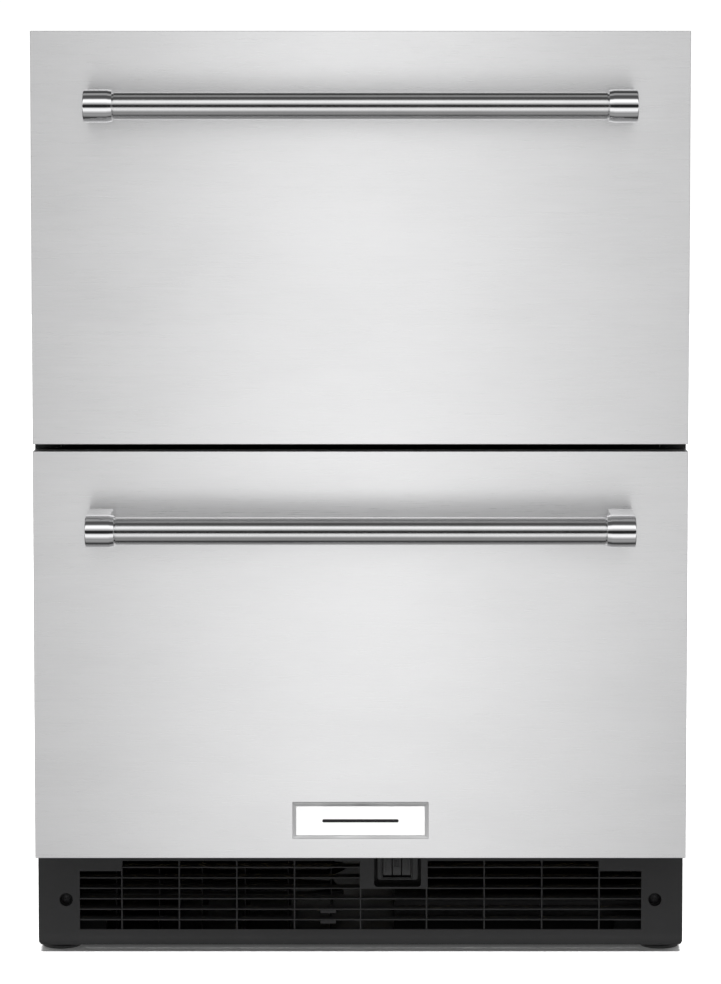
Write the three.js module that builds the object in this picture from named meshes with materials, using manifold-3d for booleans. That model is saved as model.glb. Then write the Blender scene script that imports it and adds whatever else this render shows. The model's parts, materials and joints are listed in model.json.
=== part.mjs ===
// An under counter fridge with two drawers, in millimetres. +Z is up, the front faces -Y, and the
// origin is on the floor under the centre of the whole box, handles included.
import * as THREE from "three";
import { mergeVertices } from "three/addons/utils/BufferGeometryUtils.js";
import Module from "manifold-3d";

const wasm = await Module();
wasm.setup();

// ---- Driving dimensions ----
const OVERALL = { width: 606, depth: 670, height: 866 };
const FRONT = { width: 600, height: 377, thickness: 45, gap: 6.5, skin: 1.2, skinDepth: 20, linerSheet: 3.2 };
const HANDLE = {
  projection: 62.5, noseRadius: 14.9, barRadius: 12.6, belowTop: 67.5, halfSpan: 248.6,
  bracket: 26.2, socket: 6, chamfer: { along: 4.7, in: 0.9 }, edge: 1.2,
};
const SHEET = 1.5; // steel sheet of the cabinet
const LINER_WALL = 2;
const LINER_GAP = 8; // from a front's raised frame to the edge of the opening that it fills
const FIT = 0.3; // gap between two pieces that rest on each other
const OVER = 1; // how far a cutting solid reaches past what it cuts
const CABINET_TOP = 862;
const TOE_TOP = 106; // the cabinet's sides and foam stop short behind the toe grille below this
const FACE_Y = -OVERALL.depth / 2 + HANDLE.projection; // front face of the drawers
const CABINET_Y = FACE_Y + 60; // front face of the cabinet and of the toe grille
const BACK_Y = OVERALL.depth / 2;
const HALF_W = OVERALL.width / 2;
const INSIDE_W = HALF_W - SHEET - FIT; // half width and top of what fits inside the cabinet's sheet
const INSIDE_TOP = CABINET_TOP - SHEET - FIT;
const UPPER_Z = OVERALL.height - FRONT.height; // bottom edge of the upper drawer front
const LOWER_Z = UPPER_Z - FRONT.gap - FRONT.height;

// The cabinet's sheet: its bottom edge, the room behind it for the toe grille, and its front opening.
const WRAP = { bottom: 10, grilleRoom: 17, openHalf: 279, openLow: 128, openHigh: 838 };
// The cold space: a box with a step over the machine compartment.
const COLD = { halfWidth: 270, floor: 130, stepTop: 258, stepY: 85, back: 288, ceiling: 826 };
const MULLION = { bottom: 464, top: 508, depth: 40, halfWidth: 278.6, coreHalf: 269.6 };
const MACHINE = { front: 112, top: 228 };
const LIP = { halfWidth: 290, low: 118, high: 838 }; // the liner's flange behind the cabinet's front edge
const FOAM = { front: CABINET_Y + 4.5, back: BACK_Y - 2.3, bottom: 98, grilleRoom: 27 };
const BASE = {
  halfWidth: 300, low: 12, high: 34, front: CABINET_Y + 18, back: BACK_Y - 9, airHalf: 240, airLow: 20,
  tabHalf: 11, tabTop: 62, bossRadius: 8.5, bossHeight: 15,
};

// Telescopic slides, one each side of each drawer. Heights are half heights about the slide's centre.
const SLIDE = {
  length: 450, midLength: 430, start: CABINET_Y + 4.5,
  outer: { in: 259.4, web: [268.2, 269.7], half: 22.5, sheet: 1.5 },
  middle: { in: 258.2, web: [264.4, 265.6], half: 18.5, sheet: 1.2 },
  inner: { in: 252.5, web: [260.6, 261.8], half: 14.5, sheet: 1.2 },
};
const DRAWERS = {
  upper: { z: UPPER_Z, slideZ: 170, open: [MULLION.top, COLD.ceiling], binBottom: 32, binTop: 300 },
  lower: {
    z: LOWER_Z, slideZ: 205, open: [COLD.floor, MULLION.bottom], binBottom: 34, binTop: 330, step: true,
  },
};
const BIN = {
  halfWidth: 250, front: 68, back: 498, wall: 2.5, stepY: 340, stepZ: 166.5, ledge: 257.6, rim: 4,
};
const LEG = {
  x: 284, frontY: CABINET_Y + 44, rearY: BACK_Y - 45,
  radius: 18.6, stem: 4, collar: 8.5, height: 42,
};

// The toe grille: upright bars and level slats make a lattice of openings.
const GRILLE = {
  halfWidth: 302.5,
  bottom: 9.2,
  top: 104,
  openBottom: 24.9,
  openTop: 90.2,
  shortTop: 80.4,
  barX: [-263.7, -224.2, -170.3, -116.2, -62, 0, 62, 116.2, 170.3, 224.2, 263.7],
  firstSlat: 34.1,
  pitch: 9.98,
  slats: 6,
  rib: 1.5,
  depth: 16,
  wall: 2.5,
  screw: { x: 276.5, z: 53.2, radius: 6.2, boss: 8.4, hole: 2.6 },
  tab: { x0: -37.7, x1: -23.1, drop: 4.2 },
};

// Rectangles of the switch block, as x0, x1, z0, z1. The plate runs up to the grille's top edge.
const SWITCH = {
  plate: [-0.7, 63.1, 63.6],
  pocket: [12.8, 56.7, 65.4, 101],
  bezel: [15.9, 53.9, 71.2, 99.3],
  flange: [10.5, 59, 62.6, 103],
  hole: [20.9, 47.5, 73.6, 96.9],
  keys: [25.35, 34.2, 43.05],
  keyHalf: 3.95,
  keyLow: 75.9,
  keyHigh: 95.9,
};
const INLET = { x: -245, z: 80, radius: 9 };

// Slots of the rear cover: the first one's centre, the steps to the next, and the half sizes.
const SLOTS = { columns: 4, rows: 5, x: -130, z: 60, stepX: 100, stepZ: 32, halfX: 42, halfZ: 4 };

// The coils and fans. A fan's frame stands at y, with its rotor a little behind the frame's front.
const COMPRESSOR = { at: [150, 225, 13.8], base: 15.8 };
const COIL = { tube: 4, plate: 1.2, bend: 6, tail: 20 };
const CONDENSER = {
  at: [-150, -178, 14], halfWidth: 122, depth: 240, height: 62, fins: 7, passes: 5, across: "y",
};
const EVAPORATOR = {
  at: [0, 258, 634], halfWidth: 200, depth: 26, height: 150, fins: 9, passes: 3, across: "z",
};
const CONDENSER_FAN = {
  x: -150, y: 130, z: 96, behind: 1, ring: 60, tall: 22, size: 148, rotor: 58, hub: 20, width: 20,
};
const EVAPORATOR_FAN = {
  x: 0, y: 257, z: 568, behind: 0.6, ring: 38, tall: 12, size: 92, rotor: 36, hub: 13, width: 10.5,
};
const CONTROL_BOX = { inner: -258, front: 165, back: 305, low: 46, high: 180 };
const DRIER = { x: 28, y: 112, z: 84, pipe: 3, shell: 11, ends: [14, 22, 72, 80], length: 94 };

const DISCHARGE_ROUTE = [
  [-13.7, 38, 45], [2, 38, 45], [18, 62, 48], [24, 110, 56], [52, 151.5, 60], [88.6, 178.8, 60],
];

// ---- Solids ----
function solid(geometry) {
  const g = geometry.clone();
  for (const name of Object.keys(g.attributes)) if (name !== "position") g.deleteAttribute(name);
  const merged = mergeVertices(g, 1e-4);
  return new wasm.Manifold(
    new wasm.Mesh({
      numProp: 3,
      vertProperties: merged.attributes.position.array,
      triVerts: new Uint32Array(merged.index.array),
    }),
  );
}

function geometryOf(manifold) {
  const mesh = manifold.getMesh();
  const g = new THREE.BufferGeometry();
  g.setAttribute("position", new THREE.BufferAttribute(new Float32Array(mesh.vertProperties), 3));
  g.setIndex(new THREE.BufferAttribute(new Uint32Array(mesh.triVerts), 1));
  g.computeVertexNormals();
  return g;
}

const join = (...solids) => solids.reduce((a, b) => a.add(b));
const cut = (from, ...solids) => solids.reduce((a, b) => a.subtract(b), from);

function box(x0, x1, y0, y1, z0, z1) {
  const g = new THREE.BoxGeometry(x1 - x0, y1 - y0, z1 - z0);
  return solid(g.translate((x0 + x1) / 2, (y0 + y1) / 2, (z0 + z1) / 2));
}

// A cylinder from one point along an axis ("x", "y" or "z").
function rod(axis, x, y, z, radius, length, sides = 24, farRadius = radius) {
  const g = new THREE.CylinderGeometry(farRadius, radius, length, sides).translate(0, length / 2, 0);
  if (axis === "x") g.rotateZ(-Math.PI / 2);
  if (axis === "z") g.rotateX(Math.PI / 2);
  return solid(g.translate(x, y, z));
}

// A solid turned about an axis from [radius, distance] pairs that start and end on the axis.
function turned(axis, x, y, z, profile, sides = 24) {
  const g = new THREE.LatheGeometry(profile.map(([r, d]) => new THREE.Vector2(r, d)), sides);
  if (axis === "x") g.rotateZ(-Math.PI / 2);
  if (axis === "z") g.rotateX(Math.PI / 2);
  return solid(g.translate(x, y, z));
}

// An outline in Y and Z, extruded from x0 to x1.
function sidePrism(points, x0, x1) {
  const shape = new THREE.Shape(points.map(([y, z]) => new THREE.Vector2(y, z)));
  const g = new THREE.ExtrudeGeometry(shape, { depth: x1 - x0, bevelEnabled: false });
  g.applyMatrix4(new THREE.Matrix4().set(0, 0, 1, x0, 1, 0, 0, 0, 0, 1, 0, 0, 0, 0, 0, 1));
  return solid(g);
}

// A rectangle in X and Z with its bottom and top corners rounded, extruded from y0 to y1.
function roundedPlate(x0, x1, z0, z1, y0, y1, bottomRadius, topRadius) {
  const s = new THREE.Shape();
  s.moveTo(x0 + bottomRadius, z0);
  s.lineTo(x1 - bottomRadius, z0);
  s.absarc(x1 - bottomRadius, z0 + bottomRadius, bottomRadius, -Math.PI / 2, 0, false);
  s.absarc(x1 - topRadius, z1 - topRadius, topRadius, 0, Math.PI / 2, false);
  s.absarc(x0 + topRadius, z1 - topRadius, topRadius, Math.PI / 2, Math.PI, false);
  s.absarc(x0 + bottomRadius, z0 + bottomRadius, bottomRadius, Math.PI, 1.5 * Math.PI, false);
  const g = new THREE.ExtrudeGeometry(s, { depth: y1 - y0, bevelEnabled: false, curveSegments: 5 });
  return solid(g.rotateX(Math.PI / 2).translate(0, y1, 0));
}

// A round tube along a smooth curve through the points.
function tube(points, radius, steps, sides = 8) {
  const corners = points.map((p) => new THREE.Vector3(...p));
  const curve = new THREE.CatmullRomCurve3(corners, false, "catmullrom", 0.3);
  const section = new THREE.Shape();
  for (let i = 0; i < sides; i++) {
    const a = (2 * Math.PI * i) / sides;
    section[i ? "lineTo" : "moveTo"](radius * Math.cos(a), radius * Math.sin(a));
  }
  return solid(new THREE.ExtrudeGeometry(section, { steps, bevelEnabled: false, extrudePath: curve }));
}

// ---- Materials ----
function finish(color, roughness, metalness) {
  return new THREE.MeshStandardMaterial({ color, roughness, metalness });
}
const MATERIAL = {
  stainless: finish(0xd6d7d8, 0.32, 1),
  chrome: finish(0xe4e5e6, 0.08, 1),
  cabinet: finish(0x1d1e20, 0.5, 0.3),
  galvanised: finish(0xa9adaf, 0.5, 0.9),
  blackPlastic: finish(0x232425, 0.5, 0),
  whitePlastic: finish(0xeceeee, 0.4, 0),
  bin: finish(0xd9dde0, 0.25, 0),
  rubber: finish(0x3a3b3d, 0.8, 0),
  foam: finish(0xe6d9a8, 0.9, 0),
  zinc: finish(0xc2c5c8, 0.35, 1),
  blackSteel: finish(0x2b2c2e, 0.4, 0.8),
  copper: finish(0xb87552, 0.35, 1),
  aluminium: finish(0xc9ccce, 0.4, 1),
  badge: finish(0xf2f2f2, 0.3, 0.2),
};

const fridge = new THREE.Group();
function add(name, manifold, material, parent = fridge) {
  const mesh = new THREE.Mesh(geometryOf(manifold), material);
  mesh.name = name;
  parent.add(mesh);
  return mesh;
}

// ---- Cabinet ----
function cabinetWrap() {
  const inside = HALF_W - SHEET;
  const low = WRAP.bottom;
  const front = CABINET_Y - OVER;
  const shell = cut(
    box(-HALF_W, HALF_W, CABINET_Y, BACK_Y, low, CABINET_TOP),
    box(-inside, inside, front, BACK_Y + OVER, low - OVER, CABINET_TOP - SHEET),
    box(-HALF_W - OVER, HALF_W + OVER, front, CABINET_Y + WRAP.grilleRoom, low - OVER, TOE_TOP),
  );
  const edge = HALF_W - SHEET / 2;
  const flange = cut(
    box(-edge, edge, CABINET_Y, CABINET_Y + SHEET, TOE_TOP, CABINET_TOP - SHEET / 2),
    box(-WRAP.openHalf, WRAP.openHalf, front, CABINET_Y + SHEET + OVER, WRAP.openLow, WRAP.openHigh),
  );
  return join(shell, flange);
}

// The cold space from the side, from frontY back, grown by a wall or a fit on every other face.
function coldOutline(frontY, grow) {
  return [
    [frontY, COLD.floor - grow],
    [COLD.stepY + grow, COLD.floor - grow],
    [COLD.stepY + grow, COLD.stepTop - grow],
    [COLD.back + grow, COLD.stepTop - grow],
    [COLD.back + grow, COLD.ceiling + grow],
    [frontY, COLD.ceiling + grow],
  ];
}

function innerLiner() {
  const half = COLD.halfWidth;
  const front = CABINET_Y + SHEET + FIT;
  const outside = sidePrism(coldOutline(front, LINER_WALL), -half - LINER_WALL, half + LINER_WALL);
  const lip = box(-LIP.halfWidth, LIP.halfWidth, front, front + LINER_WALL, LIP.low, LIP.high);
  return cut(join(outside, lip), sidePrism(coldOutline(front - OVER, 0), -half, half));
}

function foamInsulation() {
  const f = FOAM;
  const grow = LINER_WALL + FIT;
  const half = COLD.halfWidth + grow;
  const wide = INSIDE_W + OVER;
  return cut(
    box(-INSIDE_W, INSIDE_W, f.front, f.back, f.bottom, INSIDE_TOP),
    sidePrism(coldOutline(f.front - OVER, grow), -half, half),
    box(-wide, wide, MACHINE.front, BACK_Y, f.bottom - OVER, MACHINE.top),
    box(-wide, wide, CABINET_Y, CABINET_Y + f.grilleRoom, f.bottom - OVER, TOE_TOP),
  );
}

function mullionBar() {
  const m = MULLION;
  const face = 1.7;
  const inset = 2;
  return join(
    box(-m.halfWidth, m.halfWidth, CABINET_Y, CABINET_Y + face, m.bottom, m.top),
    box(-m.coreHalf, m.coreHalf, CABINET_Y + face / 2, CABINET_Y + m.depth, m.bottom + inset, m.top - inset),
  );
}

function baseFrame() {
  const b = BASE;
  const inner = b.halfWidth - SHEET;
  const tray = cut(
    box(-b.halfWidth, b.halfWidth, b.front, b.back, b.low, b.high),
    box(-inner, inner, b.front + SHEET, b.back - SHEET, b.low + SHEET, b.high + OVER),
    box(-b.airHalf, b.airHalf, b.front - OVER, b.front + SHEET + OVER, b.airLow, b.high + OVER),
  );
  const parts = [tray];
  const holes = [];
  for (const side of [-1, 1]) {
    const x = side * GRILLE.screw.x;
    const legX = side * LEG.x;
    parts.push(box(x - b.tabHalf, x + b.tabHalf, b.front, b.front + SHEET, b.low + SHEET / 2, b.tabTop));
    holes.push(rod("y", x, b.front - OVER, GRILLE.screw.z, GRILLE.screw.hole - FIT, SHEET + 2 * OVER, 12));
    for (const y of [LEG.frontY, LEG.rearY]) {
      parts.push(rod("z", legX, y, b.low + SHEET / 2, b.bossRadius, b.bossHeight, 10));
      holes.push(rod("z", legX, y, b.low - OVER, LEG.stem + 2 * FIT, b.bossHeight + 3 * OVER, 10));
    }
  }
  return cut(join(...parts), ...holes);
}

function levellingLeg() {
  const { radius, stem, collar, height } = LEG;
  const edge = 1;
  const profile = [
    [0, 0], [radius - edge, 0], [radius, edge], [radius, 3.4], [collar, 6.4],
    [collar, 8], [stem, 8], [stem, height - edge], [stem - edge, height], [0, height],
  ];
  return turned("z", 0, 0, 0, profile, 16);
}

// ---- Toe grille and its switch block ----
function toeGrille() {
  const g = GRILLE;
  const front = CABINET_Y;
  const back = front + g.depth;
  const half = g.halfWidth;
  const wall = g.wall;
  const lattice = [];
  for (let i = 0; i < g.slats; i++) {
    const z = g.firstSlat + i * g.pitch;
    const end = z < g.shortTop ? 10 : 9; // the top slat crosses the tall columns only
    const reach = g.barX[end] + OVER;
    lattice.push(box(-reach, reach, front, back - OVER, z - g.rib / 2, z + g.rib / 2));
  }
  for (const x of g.barX.slice(1, -1))
    lattice.push(box(x - g.rib / 2, x + g.rib / 2, front, back - OVER, g.openBottom - OVER, g.openTop + OVER));
  // Two clip tabs hang from the slats left of the centre.
  for (const z of [g.firstSlat, g.firstSlat + g.pitch])
    lattice.push(box(g.tab.x0, g.tab.x1, front + 2 * OVER, back - 2 * OVER, z - g.tab.drop, z));
  const shell = cut(
    roundedPlate(-half, half, g.bottom, g.top, front, back, 6, 2),
    roundedPlate(-half + wall, half - wall, g.bottom + wall, g.top - wall, front + wall, back + OVER, 4, 1),
    box(g.barX[1], g.barX[9], front - OVER, back + OVER, g.openBottom, g.openTop),
    box(g.barX[0], g.barX[10], front - OVER, back + OVER, g.openBottom, g.shortTop),
  );
  const [plateLeft, plateRight, plateLow] = SWITCH.plate;
  const plate = box(plateLeft, plateRight, front, back - OVER, plateLow, g.top - OVER);
  const { z: screwZ, radius, boss, hole } = g.screw;
  const screws = [-g.screw.x, g.screw.x];
  const bosses = screws.map((x) => rod("y", x, front + OVER, screwZ, boss, g.depth - 3, 20));
  const wells = screws.map((x) => rod("y", x, front - OVER, screwZ, radius, 11, 20));
  const holes = screws.map((x) => rod("y", x, front, screwZ, hole, g.depth + OVER, 12));
  return cut(
    join(shell, ...lattice, ...bosses, plate),
    roundedPlate(...SWITCH.pocket, front - OVER, back + OVER, 3, 3),
    ...wells,
    ...holes,
  );
}

// A cross-head screw whose head sits down in the grille's well.
function grilleScrew() {
  const headY = CABINET_Y + 7;
  const headDepth = 2.6;
  const headRadius = 5;
  const shank = 2;
  const arm = { long: 3, half: 0.6, deep: 1.6 };
  const head = [[0, 0], [3.4, 0.3], [headRadius, 2], [headRadius, headDepth], [0, headDepth]];
  return cut(
    join(turned("y", 0, headY, 0, head, 12), rod("y", 0, headY + headDepth - FIT, 0, shank, 16.7, 8)),
    box(-arm.long, arm.long, headY - OVER, headY + arm.deep, -arm.half, arm.half),
    box(-arm.half, arm.half, headY - OVER, headY + arm.deep, -arm.long, arm.long),
  );
}

function switchHousing() {
  const front = CABINET_Y + 4;
  const flangeY = CABINET_Y + 16.5;
  const [left, right, low, high] = SWITCH.flange;
  const [holeLeft, holeRight, holeLow, holeHigh] = SWITCH.hole;
  return cut(
    join(
      roundedPlate(...SWITCH.bezel, front, CABINET_Y + 26, 2, 2),
      box(left, right, flangeY, flangeY + 2, low, high),
    ),
    box(holeLeft, holeRight, front - OVER, CABINET_Y + 22, holeLow, holeHigh),
  );
}

function switchKey() {
  const { keyLow: low, keyHigh: high, keyHalf } = SWITCH;
  const face = CABINET_Y + 2.2;
  const back = CABINET_Y + 15;
  const crown = 1;
  const outline = [
    [face + crown, low + crown], [face, low + 3.4], [face, high - 1.6],
    [face + crown, high], [back, high], [back, low], [face + 2.2 * crown, low],
  ];
  return sidePrism(outline, -keyHalf, keyHalf);
}

// ---- Back of the cabinet and the machine compartment ----
function rearCover() {
  const y = BACK_Y - 7.5;
  const low = 36;
  const high = MACHINE.top - 0.5;
  const { halfX, halfZ } = SLOTS;
  const slots = [];
  for (let column = 0; column < SLOTS.columns; column++)
    for (let row = 0; row < SLOTS.rows; row++) {
      const x = SLOTS.x + column * SLOTS.stepX;
      const z = SLOTS.z + row * SLOTS.stepZ;
      slots.push(box(x - halfX, x + halfX, y - OVER, y + SHEET + OVER, z - halfZ, z + halfZ));
    }
  const plate = join(
    box(-INSIDE_W, INSIDE_W, y, y + SHEET, low, high),
    box(-INSIDE_W, INSIDE_W, y, BACK_Y - 0.5, high - SHEET, high),
  );
  return cut(plate, ...slots, rod("y", INLET.x, y - OVER, INLET.z, INLET.radius, SHEET + 3 * OVER, 20));
}

// Where the lead would come in: a collar through the rear cover with a hole along it.
function powerInletGland() {
  const start = BACK_Y - 20.3;
  const neck = INLET.radius - 0.4;
  const collar = 13;
  const seat = 14.3;
  const length = 19.5;
  const hole = 4.2;
  const outer = [
    [0, 0], [neck, 0], [neck, seat], [collar, seat], [collar, 16], [INLET.radius, length], [0, length],
  ];
  return cut(
    turned("y", INLET.x, start, INLET.z, outer, 20),
    rod("y", INLET.x, start - OVER, INLET.z, hole, 1.5 * length, 16),
  );
}

function compressor() {
  const can = [
    [0, 0], [58, 0], [72, 10], [76, 26], [76, 62], [79, 64],
    [79, 70], [76, 72], [76, 96], [68, 124], [44, 142], [0, 148],
  ];
  const foot = { half: 88, inner: 40, outer: 58, sheet: 3 };
  const cover = { out: -98, in: -60, half: 26, low: 40, high: 88 }; // over the terminals
  return join(
    turned("z", 0, 0, 0, can, 20),
    box(-foot.half, foot.half, -foot.outer, -foot.inner, 0, foot.sheet),
    box(-foot.half, foot.half, foot.inner, foot.outer, 0, foot.sheet),
    box(cover.out, cover.in, -cover.half, cover.half, cover.low, cover.high),
  );
}

function compressorMount() {
  const plate = { x: 95, y: 66, low: 13, high: 15.5 };
  const grommet = { x: 80, y: 49, radius: 10, height: 14 };
  const parts = [box(-plate.x, plate.x, -plate.y, plate.y, plate.low, plate.high)];
  for (const x of [-grommet.x, grommet.x])
    for (const y of [-grommet.y, grommet.y])
      parts.push(rod("z", x, y, 0, grommet.radius, grommet.height, 10));
  return join(...parts);
}

// Plates on a tube that runs to and fro along X.
function finnedCoil({ halfWidth, depth, height, fins, passes, across }) {
  const gap = (2 * halfWidth) / (fins - 1);
  const plates = Array.from({ length: fins }, (_, i) => {
    const x = -halfWidth + i * gap;
    return box(x - COIL.plate / 2, x + COIL.plate / 2, 0, depth, 0, height);
  });
  const reach = halfWidth - COIL.bend; // the bends swing out past the last plates
  const points = [];
  for (let i = 0; i < passes; i++) {
    const side = i % 2 ? 1 : -1;
    const at = (i + 0.5) / passes;
    for (const x of [side * reach, -side * reach])
      points.push(across === "y" ? [x, at * depth, height / 2] : [x, depth / 2, at * height]);
  }
  const end = points[points.length - 1];
  end[0] += Math.sign(end[0]) * COIL.tail; // the tube's end stands out
  return join(tube(points, COIL.tube, passes * 8, 6), ...plates);
}

// A fan rotor turning about Y, with the hub's blind hole facing +Y.
function fanBlade({ rotor, hub, width }) {
  const blades = 5;
  const steps = 3;
  const chord = 1.5 * width;
  const camber = 0.16 * width;
  const sheet = 1.4;
  const root = 2; // how far a blade runs into the hub
  const bore = { radius: 3, depth: 8 };
  const arc = [];
  for (let i = 0; i <= steps; i++)
    arc.push([(i / steps - 0.5) * chord, camber * Math.sin((Math.PI * i) / steps)]);
  const outline = [...arc, ...arc.slice().reverse().map(([a, b]) => [a, b - sheet])];
  const shape = new THREE.Shape(outline.map(([a, b]) => new THREE.Vector2(a, b)));
  const vanes = [];
  for (let i = 0; i < blades; i++) {
    const g = new THREE.ExtrudeGeometry(shape, { depth: rotor - hub + root + OVER, bevelEnabled: false });
    g.rotateZ(Math.PI / 5.2).translate(0, width / 2, hub - root).rotateY((2 * Math.PI * i) / blades);
    vanes.push(solid(g));
  }
  const rim = rod("y", 0, -width, 0, rotor, 3 * width, 24);
  const slab = box(-rotor, rotor, 0.2, width - 0.2, -rotor, rotor);
  return cut(
    join(rod("y", 0, 0, 0, hub, width, 16), join(...vanes).intersect(rim).intersect(slab)),
    rod("y", 0, width - bore.depth, 0, bore.radius, bore.depth + OVER, 10),
  );
}

// The fan's square frame with its motor on three arms behind the rotor, shaft towards -Y.
function fanFrame({ ring, tall, size }) {
  const half = size / 2;
  const flange = 2;
  const wall = 2;
  const outer = ring + 5;
  const arm = 5;
  const motor = { y: tall + 2, radius: ring * 0.36, length: 14 };
  const shaft = { radius: 2.5, reach: 7 };
  const duct = cut(
    join(box(-half, half, 0, flange, -half, half), rod("y", 0, 0, 0, outer, tall + 10, 20)),
    rod("y", 0, -OVER, 0, outer - wall, tall + 20, 20),
  );
  const arms = [0, 1, 2].map((i) => {
    const g = new THREE.BoxGeometry(arm, arm, ring + 1).translate(0, motor.y + arm + 0.5, outer / 2 + 1);
    return solid(g.rotateY((2 * Math.PI * i) / 3));
  });
  return join(
    duct,
    ...arms,
    rod("y", 0, motor.y, 0, motor.radius, motor.length, 16),
    rod("y", 0, motor.y - shaft.reach, 0, shaft.radius, shaft.reach + OVER, 10),
  );
}

function filterDrier() {
  const { pipe, shell, length } = DRIER;
  const [neckIn, shellIn, shellOut, neckOut] = DRIER.ends;
  const profile = [
    [0, 0], [pipe, 0], [pipe, neckIn], [shell, shellIn],
    [shell, shellOut], [pipe, neckOut], [pipe, length], [0, length],
  ];
  return turned("y", DRIER.x, DRIER.y, DRIER.z, profile, 16);
}

function controlBoardBox() {
  const { inner, front, back, low, high } = CONTROL_BOX;
  return box(-INSIDE_W, inner, front, back, low, high);
}

function rearPanel() {
  return box(-INSIDE_W, INSIDE_W, BACK_Y - SHEET, BACK_Y, MACHINE.top, INSIDE_TOP);
}

function drainPan() {
  const wall = 2;
  const [x0, x1, y0, y1, z0, z1] = [32, 268, -172, 62, 14, 44];
  return cut(
    box(x0, x1, y0, y1, z0, z1),
    box(x0 + wall, x1 - wall, y0 + wall, y1 - wall, z0 + wall, z1 + OVER),
  );
}

function evaporatorCover() {
  const y = COLD.back - 36;
  const wall = 2;
  const half = 266;
  const [low, high] = [514, 822];
  const slot = (x0, x1, z0, z1) => box(x0, x1, y - OVER, y + wall + OVER, z0, z1);
  const outlets = Array.from({ length: 9 }, (_, i) => slot(-216 + i * 48, -184 + i * 48, 790, 797));
  const inlets = Array.from({ length: 7 }, (_, i) => slot(-36, 36, 536 + i * 10, 540 + i * 10));
  const sides = [-half, half - wall].map((x) => box(x, x + wall, y, COLD.back - FIT, low, high));
  return cut(join(box(-half, half, y, y + wall, low, high), ...sides), ...outlets, ...inlets);
}

function controlPanel() {
  const y = CABINET_Y + 22;
  const low = 806;
  const panel = { half: 120, depth: 78 };
  const lamp = { half: 96, start: 30, end: 66, deep: 3 };
  const strip = { half: 40, deep: 1.5, low: 810, high: 821 };
  return cut(
    box(-panel.half, panel.half, y, y + panel.depth, low, COLD.ceiling - FIT),
    box(-lamp.half, lamp.half, y + lamp.start, y + lamp.end, low - OVER, low + lamp.deep),
    box(-strip.half, strip.half, y - OVER, y + strip.deep, strip.low, strip.high),
  );
}

// ---- Drawers: local Y is 0 at the front face and local Z is 0 at its bottom edge ----
function frontSkin() {
  const { skin, skinDepth, height } = FRONT;
  const half = FRONT.width / 2;
  return cut(
    box(-half, half, 0, skinDepth, 0, height),
    box(-half + skin, half - skin, skin, skinDepth + OVER, skin, height - skin),
  );
}

// The moulded case that fills the skin and carries on behind it, a little smaller all round.
function frontCase() {
  const { skin, skinDepth, thickness, height } = FRONT;
  const half = FRONT.width / 2;
  const inset = skin + FIT;
  const shy = 0.4;
  return join(
    box(-half + inset, half - inset, inset, skinDepth + OVER, inset, height - inset),
    box(-half + shy, half - shy, skinDepth + FIT, thickness, shy, height - shy),
  );
}

// The back of the front: a flat sheet with a raised frame that fills the cabinet's opening.
function frontLiner(low, high) {
  const y = FRONT.thickness + FIT;
  const margin = 8;
  const half = FRONT.width / 2 - margin;
  const dyke = { half: 262, inner: 244, wall: 18, back: 62, dish: 58.5 };
  const frame = cut(
    box(-dyke.half, dyke.half, y, dyke.back, low, high),
    box(-dyke.inner, dyke.inner, dyke.dish, dyke.back + OVER, low + dyke.wall, high - dyke.wall),
  );
  return join(box(-half, half, y, y + FRONT.linerSheet, margin, FRONT.height - margin), frame);
}

function doorGasket() {
  const y = FRONT.thickness + 2 * FIT + FRONT.linerSheet;
  const half = FRONT.width / 2;
  const outer = 5;
  const inner = 17;
  const back = 60 - 0.4; // just clear of the cabinet's face
  return cut(
    box(-half + outer, half - outer, y, back, outer, FRONT.height - outer),
    box(-half + inner, half - inner, y - OVER, back + OVER, inner, FRONT.height - inner),
  );
}

function handleBar(axisZ) {
  const reach = HANDLE.halfSpan - HANDLE.bracket + HANDLE.socket;
  const axisY = HANDLE.noseRadius - HANDLE.projection;
  return rod("x", -reach, axisY, axisZ, HANDLE.barRadius, 2 * reach, 24);
}

// A bracket with a square stem to the drawer face and a round nose, chamfered towards the bar.
function handleBracket(side, axisZ) {
  const { noseRadius: r, chamfer, edge } = HANDLE;
  const axisY = r - HANDLE.projection;
  const inner = HANDLE.halfSpan - HANDLE.bracket;
  const outer = HANDLE.halfSpan;
  const length = outer - inner;
  const nose = turned("x", inner, axisY, axisZ, [
    [0, 0], [r - chamfer.in, 0], [r, chamfer.along], [r, length - edge], [r - edge, length], [0, length],
  ], 24);
  const stem = box(inner + chamfer.along, outer - edge / 2, axisY, -FIT, axisZ - r, axisZ + r);
  const bore = HANDLE.barRadius + 2 * FIT;
  const socket = rod("x", inner - OVER, axisY, axisZ, bore, HANDLE.socket + 2 * OVER, 24);
  const made = cut(join(nose, stem), socket);
  return side > 0 ? made : made.mirror([1, 0, 0]);
}

function badge() {
  const [half, low, high] = [59.8, 2.4, 30.6];
  const [border, bevel, proud] = [3, 2, 2.2];
  const shape = new THREE.Shape(
    [[-half, low], [half, low], [half, high], [-half, high]].map((p) => new THREE.Vector2(...p)),
  );
  const g = new THREE.ExtrudeGeometry(shape, {
    depth: 2 * FIT, bevelEnabled: true, bevelThickness: bevel, bevelSize: border, bevelSegments: 1,
  });
  const plate = solid(g.rotateX(Math.PI / 2).translate(0, bevel - proud, 18.8));
  const room = half + border + OVER;
  return plate.intersect(box(-room, room, -proud, -FIT, 0, room));
}

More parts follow.
